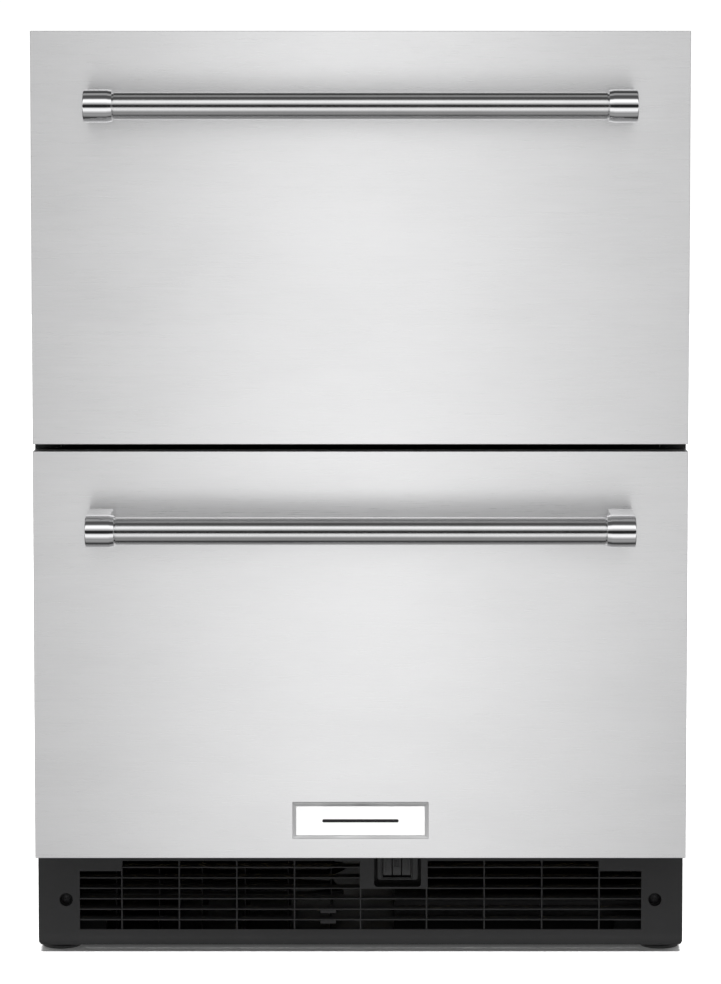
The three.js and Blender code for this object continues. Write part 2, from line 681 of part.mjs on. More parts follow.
function drawerBin(d) {
  const outline = (grow, top) => {
    const front = BIN.front + grow;
    const back = BIN.back - grow;
    const bottom = d.binBottom + grow;
    if (!d.step) return [[front, bottom], [back, bottom], [back, top], [front, top]];
    return [
      [front, bottom], [BIN.stepY - grow, bottom], [BIN.stepY - grow, BIN.stepZ + grow],
      [back, BIN.stepZ + grow], [back, top], [front, top],
    ];
  };
  const w = BIN.halfWidth;
  const tub = cut(
    sidePrism(outline(0, d.binTop), -w, w),
    sidePrism(outline(BIN.wall, d.binTop + OVER), -w + BIN.wall, w - BIN.wall),
  );
  const ledgeZ = d.slideZ + SLIDE.inner.half + FIT; // the ledges rest on the drawer's slide members
  const ledges = [[w - OVER, BIN.ledge], [-BIN.ledge, -w + OVER]].map(([a, b]) =>
    box(a, b, BIN.front, BIN.back, ledgeZ, ledgeZ + 3.2));
  const rimLow = d.binTop - 3;
  const rim = cut(
    box(-w - BIN.rim, w + BIN.rim, BIN.front - 3, BIN.back + BIN.rim, rimLow, d.binTop),
    box(-w + BIN.wall, w - BIN.wall, BIN.front + BIN.wall, BIN.back - BIN.wall, rimLow - OVER, d.binTop + OVER),
  );
  return join(tub, ...ledges, rim);
}

// One member of a slide: a channel that opens towards the drawer, from y0 to y1, centred on height z.
function channel(side, member, y0, y1, z) {
  const { in: open, web, half, sheet } = member;
  const flat = (a, b, low, high) =>
    side > 0 ? box(a, b, y0, y1, low, high) : box(-b, -a, y0, y1, low, high);
  return join(
    flat(web[0], web[1], z - half, z + half),
    flat(open, web[1], z + half - sheet, z + half),
    flat(open, web[1], z - half, z - half + sheet),
  );
}

function drawerFrame(d) {
  const start = FRONT.thickness + 17.4;
  const end = start + SLIDE.length;
  const width = 261;
  const barSheet = 2;
  const members = [-1, 1].map((side) => channel(side, SLIDE.inner, start, end, d.slideZ));
  const bar = (y) => box(-width, width, y, y + barSheet, d.slideZ - 14, d.slideZ + 14);
  return join(...members, bar(start), bar(end - 3 * barSheet));
}

// ---- Assembly ----
add("cabinet_wrap", cabinetWrap(), MATERIAL.cabinet);
add("inner_liner", innerLiner(), MATERIAL.whitePlastic);
add("foam_insulation", foamInsulation(), MATERIAL.foam);
add("mullion_bar", mullionBar(), MATERIAL.blackPlastic);
add("base_frame", baseFrame(), MATERIAL.cabinet);
add("rear_panel", rearPanel(), MATERIAL.galvanised);
add("rear_cover", rearCover(), MATERIAL.galvanised);
add("power_inlet_gland", powerInletGland(), MATERIAL.blackPlastic);
add("toe_grille", toeGrille(), MATERIAL.blackPlastic);
add("switch_housing", switchHousing(), MATERIAL.blackPlastic);
["left", "middle", "right"].forEach((where, i) => {
  add("switch_key_" + where, switchKey(), MATERIAL.blackPlastic).position.x = SWITCH.keys[i];
});
for (const [where, side] of [["left", -1], ["right", 1]]) {
  const screw = add("grille_screw_" + where, grilleScrew(), MATERIAL.blackSteel);
  screw.position.set(side * GRILLE.screw.x, 0, GRILLE.screw.z);
  const frontLeg = add("levelling_leg_front_" + where, levellingLeg(), MATERIAL.rubber);
  frontLeg.position.set(side * LEG.x, LEG.frontY, 0);
  const rearLeg = add("levelling_leg_rear_" + where, levellingLeg(), MATERIAL.rubber);
  rearLeg.position.set(side * LEG.x, LEG.rearY, 0);
}

const machine = new THREE.Group();
machine.position.set(...COMPRESSOR.at);
add("compressor_mount", compressorMount(), MATERIAL.rubber, machine);
add("compressor", compressor(), MATERIAL.cabinet, machine).position.z = COMPRESSOR.base;
fridge.add(machine);

// A fan's frame and the rotor inside it.
function addFan(name, fan, frameMaterial, rotorMaterial) {
  add(name + "_frame", fanFrame(fan), frameMaterial).position.set(fan.x, fan.y, fan.z);
  add(name + "_blade", fanBlade(fan), rotorMaterial).position.set(fan.x, fan.y + fan.behind, fan.z);
}

add("condenser_coil", finnedCoil(CONDENSER), MATERIAL.cabinet).position.set(...CONDENSER.at);
addFan("condenser_fan", CONDENSER_FAN, MATERIAL.galvanised, MATERIAL.aluminium);
add("discharge_tube", tube(DISCHARGE_ROUTE, 3.2, 16), MATERIAL.copper);
add("filter_drier", filterDrier(), MATERIAL.copper);
add("drain_pan", drainPan(), MATERIAL.blackPlastic);
add("control_board_box", controlBoardBox(), MATERIAL.whitePlastic);

add("evaporator_cover", evaporatorCover(), MATERIAL.whitePlastic);
add("evaporator_coil", finnedCoil(EVAPORATOR), MATERIAL.aluminium).position.set(...EVAPORATOR.at);
addFan("evaporator_fan", EVAPORATOR_FAN, MATERIAL.blackPlastic, MATERIAL.blackPlastic);
add("control_panel", controlPanel(), MATERIAL.whitePlastic);

for (const [name, d] of Object.entries(DRAWERS)) {
  const slides = new THREE.Group();
  slides.position.set(0, SLIDE.start, d.z + d.slideZ);
  for (const [where, side] of [["left", -1], ["right", 1]]) {
    const outer = channel(side, SLIDE.outer, 0, SLIDE.length, 0);
    const middle = channel(side, SLIDE.middle, 3, SLIDE.midLength, 0);
    add(`${name}_outer_slide_${where}`, outer, MATERIAL.zinc, slides);
    add(`${name}_middle_slide_${where}`, middle, MATERIAL.zinc, slides);
  }
  fridge.add(slides);

  const drawer = new THREE.Group();
  drawer.position.set(0, FACE_Y, d.z);
  const axisZ = FRONT.height - HANDLE.belowTop;
  add(name + "_front_skin", frontSkin(), MATERIAL.stainless, drawer);
  add(name + "_front_case", frontCase(), MATERIAL.blackPlastic, drawer);
  const liner = frontLiner(d.open[0] - d.z + LINER_GAP, d.open[1] - d.z - LINER_GAP);
  add(name + "_front_liner", liner, MATERIAL.whitePlastic, drawer);
  add(name + "_gasket", doorGasket(), MATERIAL.rubber, drawer);
  add(name + "_handle_bar", handleBar(axisZ), MATERIAL.chrome, drawer);
  add(name + "_handle_bracket_left", handleBracket(-1, axisZ), MATERIAL.chrome, drawer);
  add(name + "_handle_bracket_right", handleBracket(1, axisZ), MATERIAL.chrome, drawer);
  add(name + "_bin", drawerBin(d), MATERIAL.bin, drawer);
  add(name + "_drawer_frame", drawerFrame(d), MATERIAL.zinc, drawer);
  if (name === "lower") add("badge_plate", badge(), MATERIAL.badge, drawer);
  fridge.add(drawer);
}

export default fridge;
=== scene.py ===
"""The looks of a two-drawer under counter fridge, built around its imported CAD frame."""

import json
import math

import bmesh
import bpy
from mathutils import Matrix, Vector


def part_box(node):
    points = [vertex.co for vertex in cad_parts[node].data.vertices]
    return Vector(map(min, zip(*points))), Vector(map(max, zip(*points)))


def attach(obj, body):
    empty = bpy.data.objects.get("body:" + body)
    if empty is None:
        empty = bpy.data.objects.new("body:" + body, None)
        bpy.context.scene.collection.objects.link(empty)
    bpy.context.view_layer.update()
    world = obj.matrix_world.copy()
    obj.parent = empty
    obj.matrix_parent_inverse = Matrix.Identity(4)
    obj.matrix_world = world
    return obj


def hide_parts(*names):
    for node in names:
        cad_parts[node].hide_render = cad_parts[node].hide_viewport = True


MM = 0.001
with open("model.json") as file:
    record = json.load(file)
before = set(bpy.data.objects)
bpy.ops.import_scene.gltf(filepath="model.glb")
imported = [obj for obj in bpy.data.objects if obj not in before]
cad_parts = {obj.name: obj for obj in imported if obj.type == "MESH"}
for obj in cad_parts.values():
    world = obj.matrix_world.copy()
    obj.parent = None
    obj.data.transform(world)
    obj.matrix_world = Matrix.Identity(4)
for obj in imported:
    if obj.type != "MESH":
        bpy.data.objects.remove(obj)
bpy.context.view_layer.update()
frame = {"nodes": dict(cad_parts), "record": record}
NODES = frame["nodes"]
DRAWERS = ("upper", "lower")
SIDES = {"left": -1, "right": 1}
SHARP = 32  # degrees: edges that turn by more stay sharp
TINY = 0.002 * MM  # corners closer than this are one
CUT = 1 * MM  # how far a cutting solid reaches past what it cuts
REPLACED = []


# ---------------------------------------------------------------- shader graphs
class Graph:
    """A node tree that is filled one node at a time."""

    def __init__(self, tree):
        tree.nodes.clear()
        self.tree = tree

    def add(self, kind, inputs=None, **settings):
        """Adds a node; an input is a constant or another node's output. Returns the first output."""
        node = self.tree.nodes.new(kind)
        for key, value in settings.items():
            setattr(node, key, value)
        for key, value in (inputs or {}).items():
            if isinstance(value, bpy.types.NodeSocket):
                self.tree.links.new(value, node.inputs[key])
            else:
                node.inputs[key].default_value = value
        return node.outputs[0] if node.outputs else node

    def math(self, operation, a, b=0.0):
        return self.add("ShaderNodeMath", {0: a, 1: b}, operation=operation)

    def place(self, scale=(1, 1, 1)):
        """The piece's own coordinates in metres, times scale."""
        coordinates = self.tree.nodes.new("ShaderNodeTexCoord")
        return self.add("ShaderNodeMapping", {"Vector": coordinates.outputs["Object"], "Scale": scale})

    def noise(self, scale, detail=4.0, roughness=0.55, stretch=(1, 1, 1), distortion=0.0):
        inputs = {"Vector": self.place(stretch), "Scale": scale, "Detail": detail}
        inputs.update({"Roughness": roughness, "Distortion": distortion})
        return self.add("ShaderNodeTexNoise", inputs)

    def spread(self, value, low, high, start=0.3, end=0.7):
        """Value between start and end becomes low to high."""
        inputs = {"Value": value, "From Min": start, "From Max": end, "To Min": low, "To Max": high}
        return self.add("ShaderNodeMapRange", inputs)

    def blend(self, factor, a, b):
        """A colour between a and b."""
        mix = self.add("ShaderNodeMix", {0: factor, 6: a, 7: b}, data_type="RGBA").node
        return mix.outputs[2]

    def bump(self, height, distance, strength=1.0, normal=None):
        inputs = {"Height": height, "Distance": distance, "Strength": strength}
        if normal is not None:
            inputs["Normal"] = normal
        return self.add("ShaderNodeBump", inputs)


def grey(value):
    return (value, value, value, 1.0)


def tinted(colour, factor):
    return (*(min(1.0, c * factor) for c in colour[:3]), 1.0)


def material(name, make, **constants):
    """A material whose graph make() fills: it returns the inputs of the Principled shader."""
    made = bpy.data.materials.new(name)
    made.use_nodes = True
    graph = Graph(made.node_tree)
    inputs = {**make(graph), **constants}
    shader = graph.add("ShaderNodeBsdfPrincipled", inputs)
    graph.add("ShaderNodeOutputMaterial", {"Surface": shader})
    return made


def brushed(base, rough):
    """Sheet metal brushed along X: long fine streaks with soft blotches under them."""
    contrast = 0.06
    brush = (14, 1500, 1500)  # scale of the noise along and across the brush lines
    finer = tuple(scale * 2.6 for scale in brush)

    def make(graph):
        streak = graph.noise(1.0, 3.0, 0.6, brush)
        short = graph.noise(1.0, 2.0, 0.5, finer)
        blotch = graph.noise(9.0, 3.0, 0.6, (1, 1, 2.5))
        both = graph.math("MULTIPLY_ADD", short, 0.5)
        both = graph.math("ADD", both, graph.math("MULTIPLY", streak, 0.5))
        shade = graph.spread(both, 1.0 - contrast, 1.0 + contrast * 0.4, 0.6, 1.3)
        cloud = graph.spread(blotch, 0.975, 1.015)
        return {
            "Base Color": graph.blend(graph.math("MULTIPLY", shade, cloud), grey(0.0), (*base, 1.0)),
            "Roughness": graph.spread(both, rough * 0.86, rough * 1.16, 0.6, 1.3),
            "Normal": graph.bump(both, 0.012 * MM, 0.8),
        }

    return make


def moulded(base, rough, grain=2200, depth=0.012 * MM, mottle=0.1):
    """Moulded plastic or rubber: a fine grain, slow changes of gloss and a trace of handling marks."""

    def make(graph):
        skin = graph.noise(grain, 2.0, 0.6)
        slow = graph.noise(11.0, 4.0, 0.6)
        marks = graph.noise(60.0, 6.0, 0.7, (1, 1, 3))
        colour = graph.blend(
            graph.spread(slow, 0.0, 1.0), tinted(base, 1 - mottle), tinted(base, 1 + mottle)
        )
        worn = graph.spread(marks, 0.0, mottle, 0.58, 0.8)
        colour = graph.blend(worn, colour, tinted(base, 1.6))
        roughness = graph.spread(marks, rough * 0.88, rough * 1.14)
        return {"Base Color": colour, "Roughness": roughness, "Normal": graph.bump(skin, depth, 0.7)}

    return make


def powder_coat(base, rough):
    """Powder coat on steel: a pebbled skin over slow waves in the sheet."""

    def make(graph):
        pebble = graph.noise(1100.0, 2.0, 0.5)
        wave = graph.noise(5.0, 2.0, 0.5)
        fleck = graph.noise(700.0, 1.0, 0.5)
        colour = graph.blend(
            graph.spread(fleck, 0.0, 1.0, 0.45, 0.62), tinted(base, 0.8), tinted(base, 1.35)
        )
        waves = graph.bump(wave, 0.5 * MM, 0.25)
        return {
            "Base Color": colour,
            "Roughness": graph.spread(pebble, rough * 0.85, rough * 1.15),
            "Normal": graph.bump(pebble, 0.03 * MM, 0.8, waves),
        }

    return make


def spangled(base, rough):
    """Zinc dipped sheet: crystal patches that differ in tone and gloss."""

    def make(graph):
        cells = graph.add("ShaderNodeTexVoronoi", {"Scale": 55.0, "Vector": graph.place()}).node
        tone = graph.add("ShaderNodeSeparateColor", {0: cells.outputs["Color"]})
        stain = graph.noise(8.0, 5.0, 0.65)
        crystals = graph.spread(tone, 0.82, 1.0, 0, 1)
        shade = graph.math("MULTIPLY", crystals, graph.spread(stain, 0.9, 1.0))
        return {
            "Base Color": graph.blend(shade, grey(0.0), (*base, 1.0)),
            "Roughness": graph.spread(tone, rough * 0.8, rough * 1.25, 0, 1),
            "Normal": graph.bump(stain, 0.05 * MM, 0.3),
        }

    return make


def polished(base, rough):
    """Plated or drawn metal: nearly clean, with faint smears and hairline scratches."""

    def make(graph):
        film = graph.noise(24.0, 5.0, 0.6, distortion=0.6)
        hair = graph.noise(1.0, 2.0, 0.5, (160, 2600, 2600))
        return {
            "Base Color": graph.blend(graph.spread(film, 0.0, 1.0), tinted(base, 0.95), (*base, 1.0)),
            "Roughness": graph.spread(film, rough * 0.8, rough * 1.5),
            "Normal": graph.bump(hair, 0.002 * MM, 0.5),
        }

    return make


def knurled(base, rough, radius, pitch, height):
    """Steel rolled with crossed helical grooves around the X axis of its piece, with painted shade in the
    grooves.
    """

    def make(graph):
        split = graph.add("ShaderNodeSeparateXYZ", {0: graph.place()}).node
        turn = graph.math("ARCTAN2", split.outputs["Z"], split.outputs["Y"])
        arc_length = graph.math("MULTIPLY", turn, radius)
        grooves = []
        for operation in ("ADD", "SUBTRACT"):
            helix = graph.math(operation, split.outputs["X"], arc_length)
            fold = graph.math("PINGPONG", graph.math("DIVIDE", helix, pitch), 0.5)
            grooves.append(graph.spread(fold, 0.0, 1.0, 0.0, 0.16))
        relief = graph.math("MINIMUM", *grooves)
        film = graph.noise(24.0, 5.0, 0.6)
        # Painted shade: the base colour is darker down in the knurl grooves; the film below only adds random
        # tone.
        groove_shade = graph.spread(relief, 0.86, 1.0, 0, 1)
        shade = graph.math("MULTIPLY", groove_shade, graph.spread(film, 0.94, 1.0))
        return {
            "Base Color": graph.blend(shade, grey(0.0), (*base, 1.0)),
            "Roughness": graph.spread(film, rough * 0.85, rough * 1.2),
            "Normal": graph.bump(relief, height, 1.0),
        }

    return make


def foam_fill(graph):
    """Cut foam: a fine open grain in two yellows."""
    cells = graph.noise(900.0, 3.0, 0.6)
    tone = graph.blend(graph.spread(cells, 0.0, 1.0), (0.58, 0.44, 0.2, 1), (0.8, 0.68, 0.4, 1))
    return {"Base Color": tone, "Roughness": 0.9, "Normal": graph.bump(cells, 0.3 * MM)}


def floor_paint(graph):
    """The studio floor: a pale matt paint that glows a little, so that it stays white."""
    patches = graph.noise(1.3, 3.0, 0.5)
    tone = graph.blend(graph.spread(patches, 0.0, 1.0), grey(0.86), grey(0.9))
    return {"Base Color": tone, "Roughness": 0.7, "Emission Color": tone, "Emission Strength": 0.07}


def bar_axis(which):
    """A handle bar's axis (y, z) and its radius."""
    low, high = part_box(f"{which}_handle_bar")
    return (low.y + high.y) / 2, (low.z + high.z) / 2, (high.z - low.z) / 2


METAL = {"Metallic": 1.0}
DULL = {"Specular IOR Level": 0.3}
STAINLESS = (0.74, 0.74, 0.745)
STEEL = material("brushed_stainless", brushed(STAINLESS, 0.28), Anisotropic=0.66, **METAL)
KNURL = {"pitch": 1.2 * MM, "height": 0.008 * MM}
BAR_STEEL = material("knurled_steel", knurled(STAINLESS, 0.11, bar_axis("upper")[2], **KNURL), **METAL)
CHROME = material("bright_chrome", polished((0.86, 0.86, 0.87), 0.055), **METAL)
BLACK_PAINT = material("black_powder_coat", powder_coat((0.012, 0.0125, 0.013), 0.45), **DULL)
BLACK_PLASTIC = material("black_moulding", moulded((0.0155, 0.0155, 0.016), 0.46), **DULL)
KEY_PLASTIC = material("black_key_plastic", moulded((0.019, 0.019, 0.0195), 0.38, 1600), **DULL)
WHITE_PLASTIC = material("white_liner_plastic", moulded((0.8, 0.81, 0.81), 0.34, 500, 0.03 * MM, 0.02))
BIN_PLASTIC = material("pale_bin_plastic", moulded((0.66, 0.675, 0.685), 0.3, 500, 0.012 * MM, 0.012))
RUBBER = material("dark_rubber", moulded((0.028, 0.028, 0.029), 0.6, 900, 0.03 * MM, 0.15))
GALVANISED = material("galvanised_sheet", spangled((0.6, 0.62, 0.63), 0.42), **METAL)
ZINC = material("bright_zinc", polished((0.68, 0.69, 0.7), 0.26), **METAL)
COPPER = material("drawn_copper", polished((0.72, 0.33, 0.2), 0.28), **METAL)
ALUMINIUM = material("mill_aluminium", polished((0.72, 0.73, 0.74), 0.32), **METAL)
SCREW_STEEL = material("black_oxide_steel", polished((0.02, 0.02, 0.021), 0.4), **DULL)
BADGE_METAL = material("satin_badge_rim", polished((0.82, 0.82, 0.825), 0.32), **METAL)
BADGE_ENAMEL = material("white_badge_enamel", moulded((0.86, 0.86, 0.86), 0.22, 900, 0.004 * MM, 0.01))
BADGE_INK = material("dark_badge_inlay", moulded((0.012, 0.012, 0.0125), 0.4, 900, 0.004 * MM), **DULL)
FOAM = material("insulating_foam", foam_fill)
FLOOR = material("pale_floor", floor_paint)


def upright_grain(metal):
    """Turns the metal's highlights across its brush lines, so that they stretch upright."""
    tree = metal.node_tree
    shader = next(n for n in tree.nodes if n.type == "BSDF_PRINCIPLED")
    tangent = tree.nodes.new("ShaderNodeTangent")
    tangent.direction_type = "RADIAL"
    tangent.axis = "X"
    tree.links.new(tangent.outputs[0], shader.inputs["Tangent"])


upright_grain(STEEL)


# ---------------------------------------------------------------- geometry helpers
def arc(cx, cy, radius, start, end, steps):
    """Points of an arc, angles in degrees."""
    angles = [math.radians(start + (end - start) * i / steps) for i in range(steps + 1)]
    return [(cx + radius * math.cos(a), cy + radius * math.sin(a)) for a in angles]


def rounded_rectangle(x0, x1, y0, y1, radius, steps=6, top=None):
    """Corner points from the lower right, anticlockwise; top is the upper corners' own radius."""
    top = radius if top is None else top
    return [
        *arc(x1 - radius, y0 + radius, radius, -90, 0, steps),
        *arc(x1 - top, y1 - top, top, 0, 90, steps),
        *arc(x0 + top, y1 - top, top, 90, 180, steps),
        *arc(x0 + radius, y0 + radius, radius, 180, 270, steps),
    ]


def centred(x, y, half_x, half_y, radius, steps=6):
    """A rounded rectangle around a middle point."""
    return rounded_rectangle(x - half_x, x + half_x, y - half_y, y + half_y, radius, steps)


def loft(bm, rings, caps=True):
    """Joins closed rings of equal length into a skin."""
    made = [[bm.verts.new(p) for p in ring] for ring in rings]
    count = len(made[0])
    for a, b in zip(made, made[1:]):
        for i in range(count):
            j = (i + 1) % count
            bm.faces.new((a[i], a[j], b[j], b[i]))
    if caps:
        bm.faces.new(made[0][::-1])
        bm.faces.new(made[-1])
    return made


def turned(bm, profile, centre, axis, steps=48):
    """A solid of revolution about axis "y" or "z"; profile is (radius, distance along the axis)."""
    turn = Matrix.Rotation(-math.pi / 2, 4, "X") if axis == "y" else Matrix.Identity(4)
    place = Matrix.Translation(centre) @ turn
    angles = [2 * math.pi * i / steps for i in range(steps)]
    rings = []
    for radius, along in profile:
        points = [(radius * math.cos(a), radius * math.sin(a), along) for a in angles]
        rings.append([place @ Vector(p) for p in points])
    return loft(bm, rings)


def placed(name, data):
    """A new object in the scene."""
    item = bpy.data.objects.new(name, data)
    bpy.context.scene.collection.objects.link(item)
    return item


def soften(piece, width, segments, sharp):
    """Bevels the piece's sharp edges."""
    edge = piece.modifiers.new("edges", "BEVEL")
    edge.width = width
    edge.segments = segments
    edge.limit_method = "ANGLE"
    edge.angle_limit = math.radians(sharp)
    return edge


def build(name, bm, finish, body, replaces=(), bevel=0.0, segments=3, sharp=SHARP, at=(0, 0, 0)):
    """Turns a bmesh into a finished piece that rides on a body and stands for the nodes it replaces."""
    bmesh.ops.recalc_face_normals(bm, faces=bm.faces)
    mesh = bpy.data.meshes.new(name)
    bm.to_mesh(mesh)
    bm.free()
    mesh.shade_smooth()
    mesh.set_sharp_from_angle(angle=math.radians(sharp))
    mesh.materials.append(finish)
    piece = placed(name, mesh)
    piece.location = at
    if bevel:
        soften(piece, bevel, segments, sharp).harden_normals = True
    if body:
        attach(piece, body)
    if replaces:
        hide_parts(*replaces)
        REPLACED.extend(replaces)
    return piece


def prism(bm, outline, axis, low, high):
    """A straight solid along an axis: outline holds the two other coordinates, in x, y, z order."""
    place = "xyz".index(axis)
    loft(bm, [[(*p[:place], v, *p[place:]) for p in outline] for v in (low, high)])


def solid_helper(bm):
    """A bmesh as an object that another piece is cut by or joined with."""
    mesh = bpy.data.meshes.new("helper")
    bm.to_mesh(mesh)
    bm.free()
    return bpy.data.objects.new("helper", mesh)


def helper(make, *args):
    """The helper that make() draws."""
    bm = bmesh.new()
    make(bm, *args)
    bmesh.ops.recalc_face_normals(bm, faces=bm.faces)
    return solid_helper(bm)


def carve(body, steps):
    """Applies (operation, helper) steps to a helper in turn, and returns the result as a bmesh."""
    objects = [body, *(tool for _, tool in steps)]
    for item in objects:
        bpy.context.scene.collection.objects.link(item)
    for operation, tool in steps:
        step = body.modifiers.new("step", "BOOLEAN")
        step.operation = operation
        step.solver = "EXACT"
        step.object = tool
    depsgraph = bpy.context.evaluated_depsgraph_get()
    bm = bmesh.new()
    bm.from_mesh(body.evaluated_get(depsgraph).to_mesh())
    for item in objects:
        bpy.data.objects.remove(item)
    bmesh.ops.remove_doubles(bm, verts=bm.verts, dist=TINY)
    bmesh.ops.dissolve_limit(bm, angle_limit=math.radians(0.5), verts=bm.verts, edges=bm.edges)
    return bm


# ---------------------------------------------------------------- modifiers for CAD nodes
def node_group(name, fill):
    """A geometry node group: fill() adds its nodes and returns the last one's output."""
    group = bpy.data.node_groups.new(name, "GeometryNodeTree")
    group.interface.new_socket("Geometry", in_out="INPUT", socket_type="NodeSocketGeometry")
    group.interface.new_socket("Geometry", in_out="OUTPUT", socket_type="NodeSocketGeometry")
    graph = Graph(group)
    geometry = graph.add("NodeGroupInput")
    graph.add("NodeGroupOutput", {0: fill(graph, geometry)})
    return group


def weld(graph, geometry):
    """Joins the split corners of an imported mesh and drops its stored normals."""
    merged = graph.add("GeometryNodeMergeByDistance", {0: geometry, "Distance": 0.005 * MM})
    return graph.add("GeometryNodeRemoveAttribute", {0: merged, "Name": "custom_normal"})


def shade_by_angle(graph, geometry):
    """Smooth faces, with edges kept sharp where the faces turn by more than the limit."""
    faces = graph.add("GeometryNodeSetShadeSmooth", {0: geometry, "Shade Smooth": True})
    angle = graph.add("GeometryNodeInputMeshEdgeAngle")
    above = graph.math("GREATER_THAN", angle, math.radians(SHARP))
    inputs = {0: faces, "Selection": above, "Shade Smooth": False}
    return graph.add("GeometryNodeSetShadeSmooth", inputs, domain="EDGE")


WELD = node_group("weld", weld)
SHADE = node_group("shade_by_angle", shade_by_angle)


def dress(name, finish, bevel, segments):
    """Gives a CAD node its finish and softened edges, and leaves its mesh alone."""
    node = NODES[name]
    node.data.materials.clear()
    node.data.materials.append(finish)
    node.modifiers.new("weld", "NODES").node_group = WELD
    flat = node.modifiers.new("flat", "DECIMATE")
    flat.decimate_type = "DISSOLVE"
    flat.angle_limit = math.radians(1)
    if bevel:
        soften(node, bevel, segments, SHARP)
    node.modifiers.new("shade", "NODES").node_group = SHADE
    flatter = node.modifiers.new("flatter", "WEIGHTED_NORMAL")
    flatter.keep_sharp = True


# ---------------------------------------------------------------- camera, light, floor
DOOR_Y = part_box("upper_front_skin")[0].y
# In metres, degrees and millimetres; the distance is from the drawer fronts.
CAMERA = {"distance": 3.4, "height": 0.831, "pitch": 4.21, "lens": 136.6, "sensor": 36, "shift": -0.15}


def make_camera():
    data = bpy.data.cameras.new("camera")
    data.lens = CAMERA["lens"]
    data.sensor_width = CAMERA["sensor"]
    data.shift_y = CAMERA["shift"]
    camera = placed("camera", data)
    camera.location = (0, DOOR_Y - CAMERA["distance"], CAMERA["height"])
    camera.rotation_euler = (math.radians(90 - CAMERA["pitch"]), 0, 0)
    bpy.context.scene.camera = camera


def area_light(name, place, aim, width, height, power):
    """A rectangular light that the camera doesn't see."""
    data = bpy.data.lights.new(name, "AREA")
    data.shape = "RECTANGLE"
    data.size = width
    data.size_y = height
    data.energy = power
    light = placed(name, data)
    light.location = place
    light.rotation_euler = (Vector(aim) - Vector(place)).to_track_quat("-Z", "Y").to_euler()
    light.visible_camera = False
    return light


def linked(light, objects):
    """The light reaches only these objects."""
    group = bpy.data.collections.new(light.name + "_receivers")
    for item in objects:
        group.objects.link(item)
    light.light_linking.receiver_collection = group


# A wall of softboxes side by side before the fronts: left, right and lower edge, and brightness.
SOFTBOX = {"y": -2.2, "top": 1.6}
STRIPS = [
    (-1.7, -0.6, -0.1, 0.39),
    (-0.6, -0.36, -0.2, 0.44),
    (-0.36, -0.16, -0.4, 0.74),
    (-0.16, 0.16, -0.4, 1.03),
    (0.16, 0.36, -0.4, 0.75),
    (0.36, 0.6, -0.2, 0.53),
    (0.6, 1.7, -0.1, 0.45),
]


def front_glow():
    """The softboxes light the stainless skins only, brightest in the middle."""
    skins = [NODES[f"{which}_front_skin"] for which in DRAWERS]
    y, top = SOFTBOX["y"], SOFTBOX["top"]
    for i, (left, right, bottom, brightness) in enumerate(STRIPS):
        x, z = (left + right) / 2, (top + bottom) / 2
        power = brightness * math.pi * (right - left) * (top - bottom)
        strip = area_light(f"softbox_{i}", (x, y, z), (x, 0, z), right - left, top - bottom, power)
        linked(strip, skins)


def sun(name, elevation, spread, strength):
    """A soft sun from straight ahead that no shiny surface mirrors."""
    data = bpy.data.lights.new(name, "SUN")
    data.energy = strength
    data.angle = math.radians(spread)
    light = placed(name, data)
    light.rotation_euler = (math.radians(90 - elevation), 0, 0)
    light.visible_glossy = False
    return light


# Brightness of the studio by angle in degrees, from straight ahead of the fronts, up and over.
STUDIO = [
    (-180, 0.5), (-120, 0.3), (-104, 0.05), (-98, 0.05), (-84, 0.06), (-74, 0.3), (-62, 0.36), (-54, 0.3),
    (-47, 0.42), (-38, 0.75), (-33, 1.1), (-18, 1.05), (-13, 0.45), (-8, 0.02), (8, 0.02), (12, 0.3),
    (18, 0.55), (23, 0.85), (30, 1.25), (44, 1.2), (48, 0.55), (53, 0.18), (60, 0.09), (78, 0.09),
    (82, 0.34), (98, 0.34), (102, 0.06), (122, 0.06), (140, 0.5), (180, 0.5),
]
BACKDROP = 1.05  # brightness of the backdrop, which only the camera sees


def make_world():
    """A studio of level bands of light, before a plain bright backdrop."""
    world = bpy.data.worlds.new("studio")
    bpy.context.scene.world = world
    world.use_nodes = True
    graph = Graph(world.node_tree)
    coordinates = graph.tree.nodes.new("ShaderNodeTexCoord")
    split = graph.add("ShaderNodeSeparateXYZ", {0: coordinates.outputs["Generated"]}).node
    ahead = graph.math("MULTIPLY", split.outputs["Y"], -1.0)
    angle = graph.math("ARCTAN2", split.outputs["Z"], ahead)
    share = graph.math("MULTIPLY_ADD", angle, 1 / (2 * math.pi))
    share.node.inputs[2].default_value = 0.5
    ramp = graph.tree.nodes.new("ShaderNodeValToRGB")
    graph.tree.links.new(share, ramp.inputs[0])
    stops = ramp.color_ramp.elements
    stops[0].color, stops[1].color = grey(STUDIO[0][1]), grey(STUDIO[-1][1])
    for degrees, value in STUDIO[1:-1]:
        stops.new(degrees / 360 + 0.5).color = grey(value)
    studio = graph.add("ShaderNodeBackground", {"Color": ramp.outputs[0], "Strength": 1.0})
    backdrop = graph.add("ShaderNodeBackground", {"Color": grey(1.0), "Strength": BACKDROP})
    path = graph.tree.nodes.new("ShaderNodeLightPath")
    seen = path.outputs["Is Camera Ray"]
    both = graph.add("ShaderNodeMixShader", {0: seen, 1: studio, 2: backdrop})
    graph.add("ShaderNodeOutputWorld", {"Surface": both})


def make_floor():
    """A wide pale floor that no shiny surface mirrors, and the suns that light it and the object."""
    bm = bmesh.new()
    bmesh.ops.create_grid(bm, x_segments=8, y_segments=8, size=9.0)
    floor = build("floor", bm, FLOOR, None)
    floor.visible_glossy = False
    linked(sun("floor_sun", 38, 8, 6.8), [floor])
    sun("soft_sun", 55, 50, 1.0)


# ---------------------------------------------------------------- handles
# A bracket's ring: how far its chamfer runs along and in, its rounded outer edge, and where its stem starts.
BRACKET = {"chamfer": 4.6 * MM, "depth": 0.9 * MM, "fillet": 1.2 * MM, "soft": 0.25 * MM, "stem": 3.8 * MM}


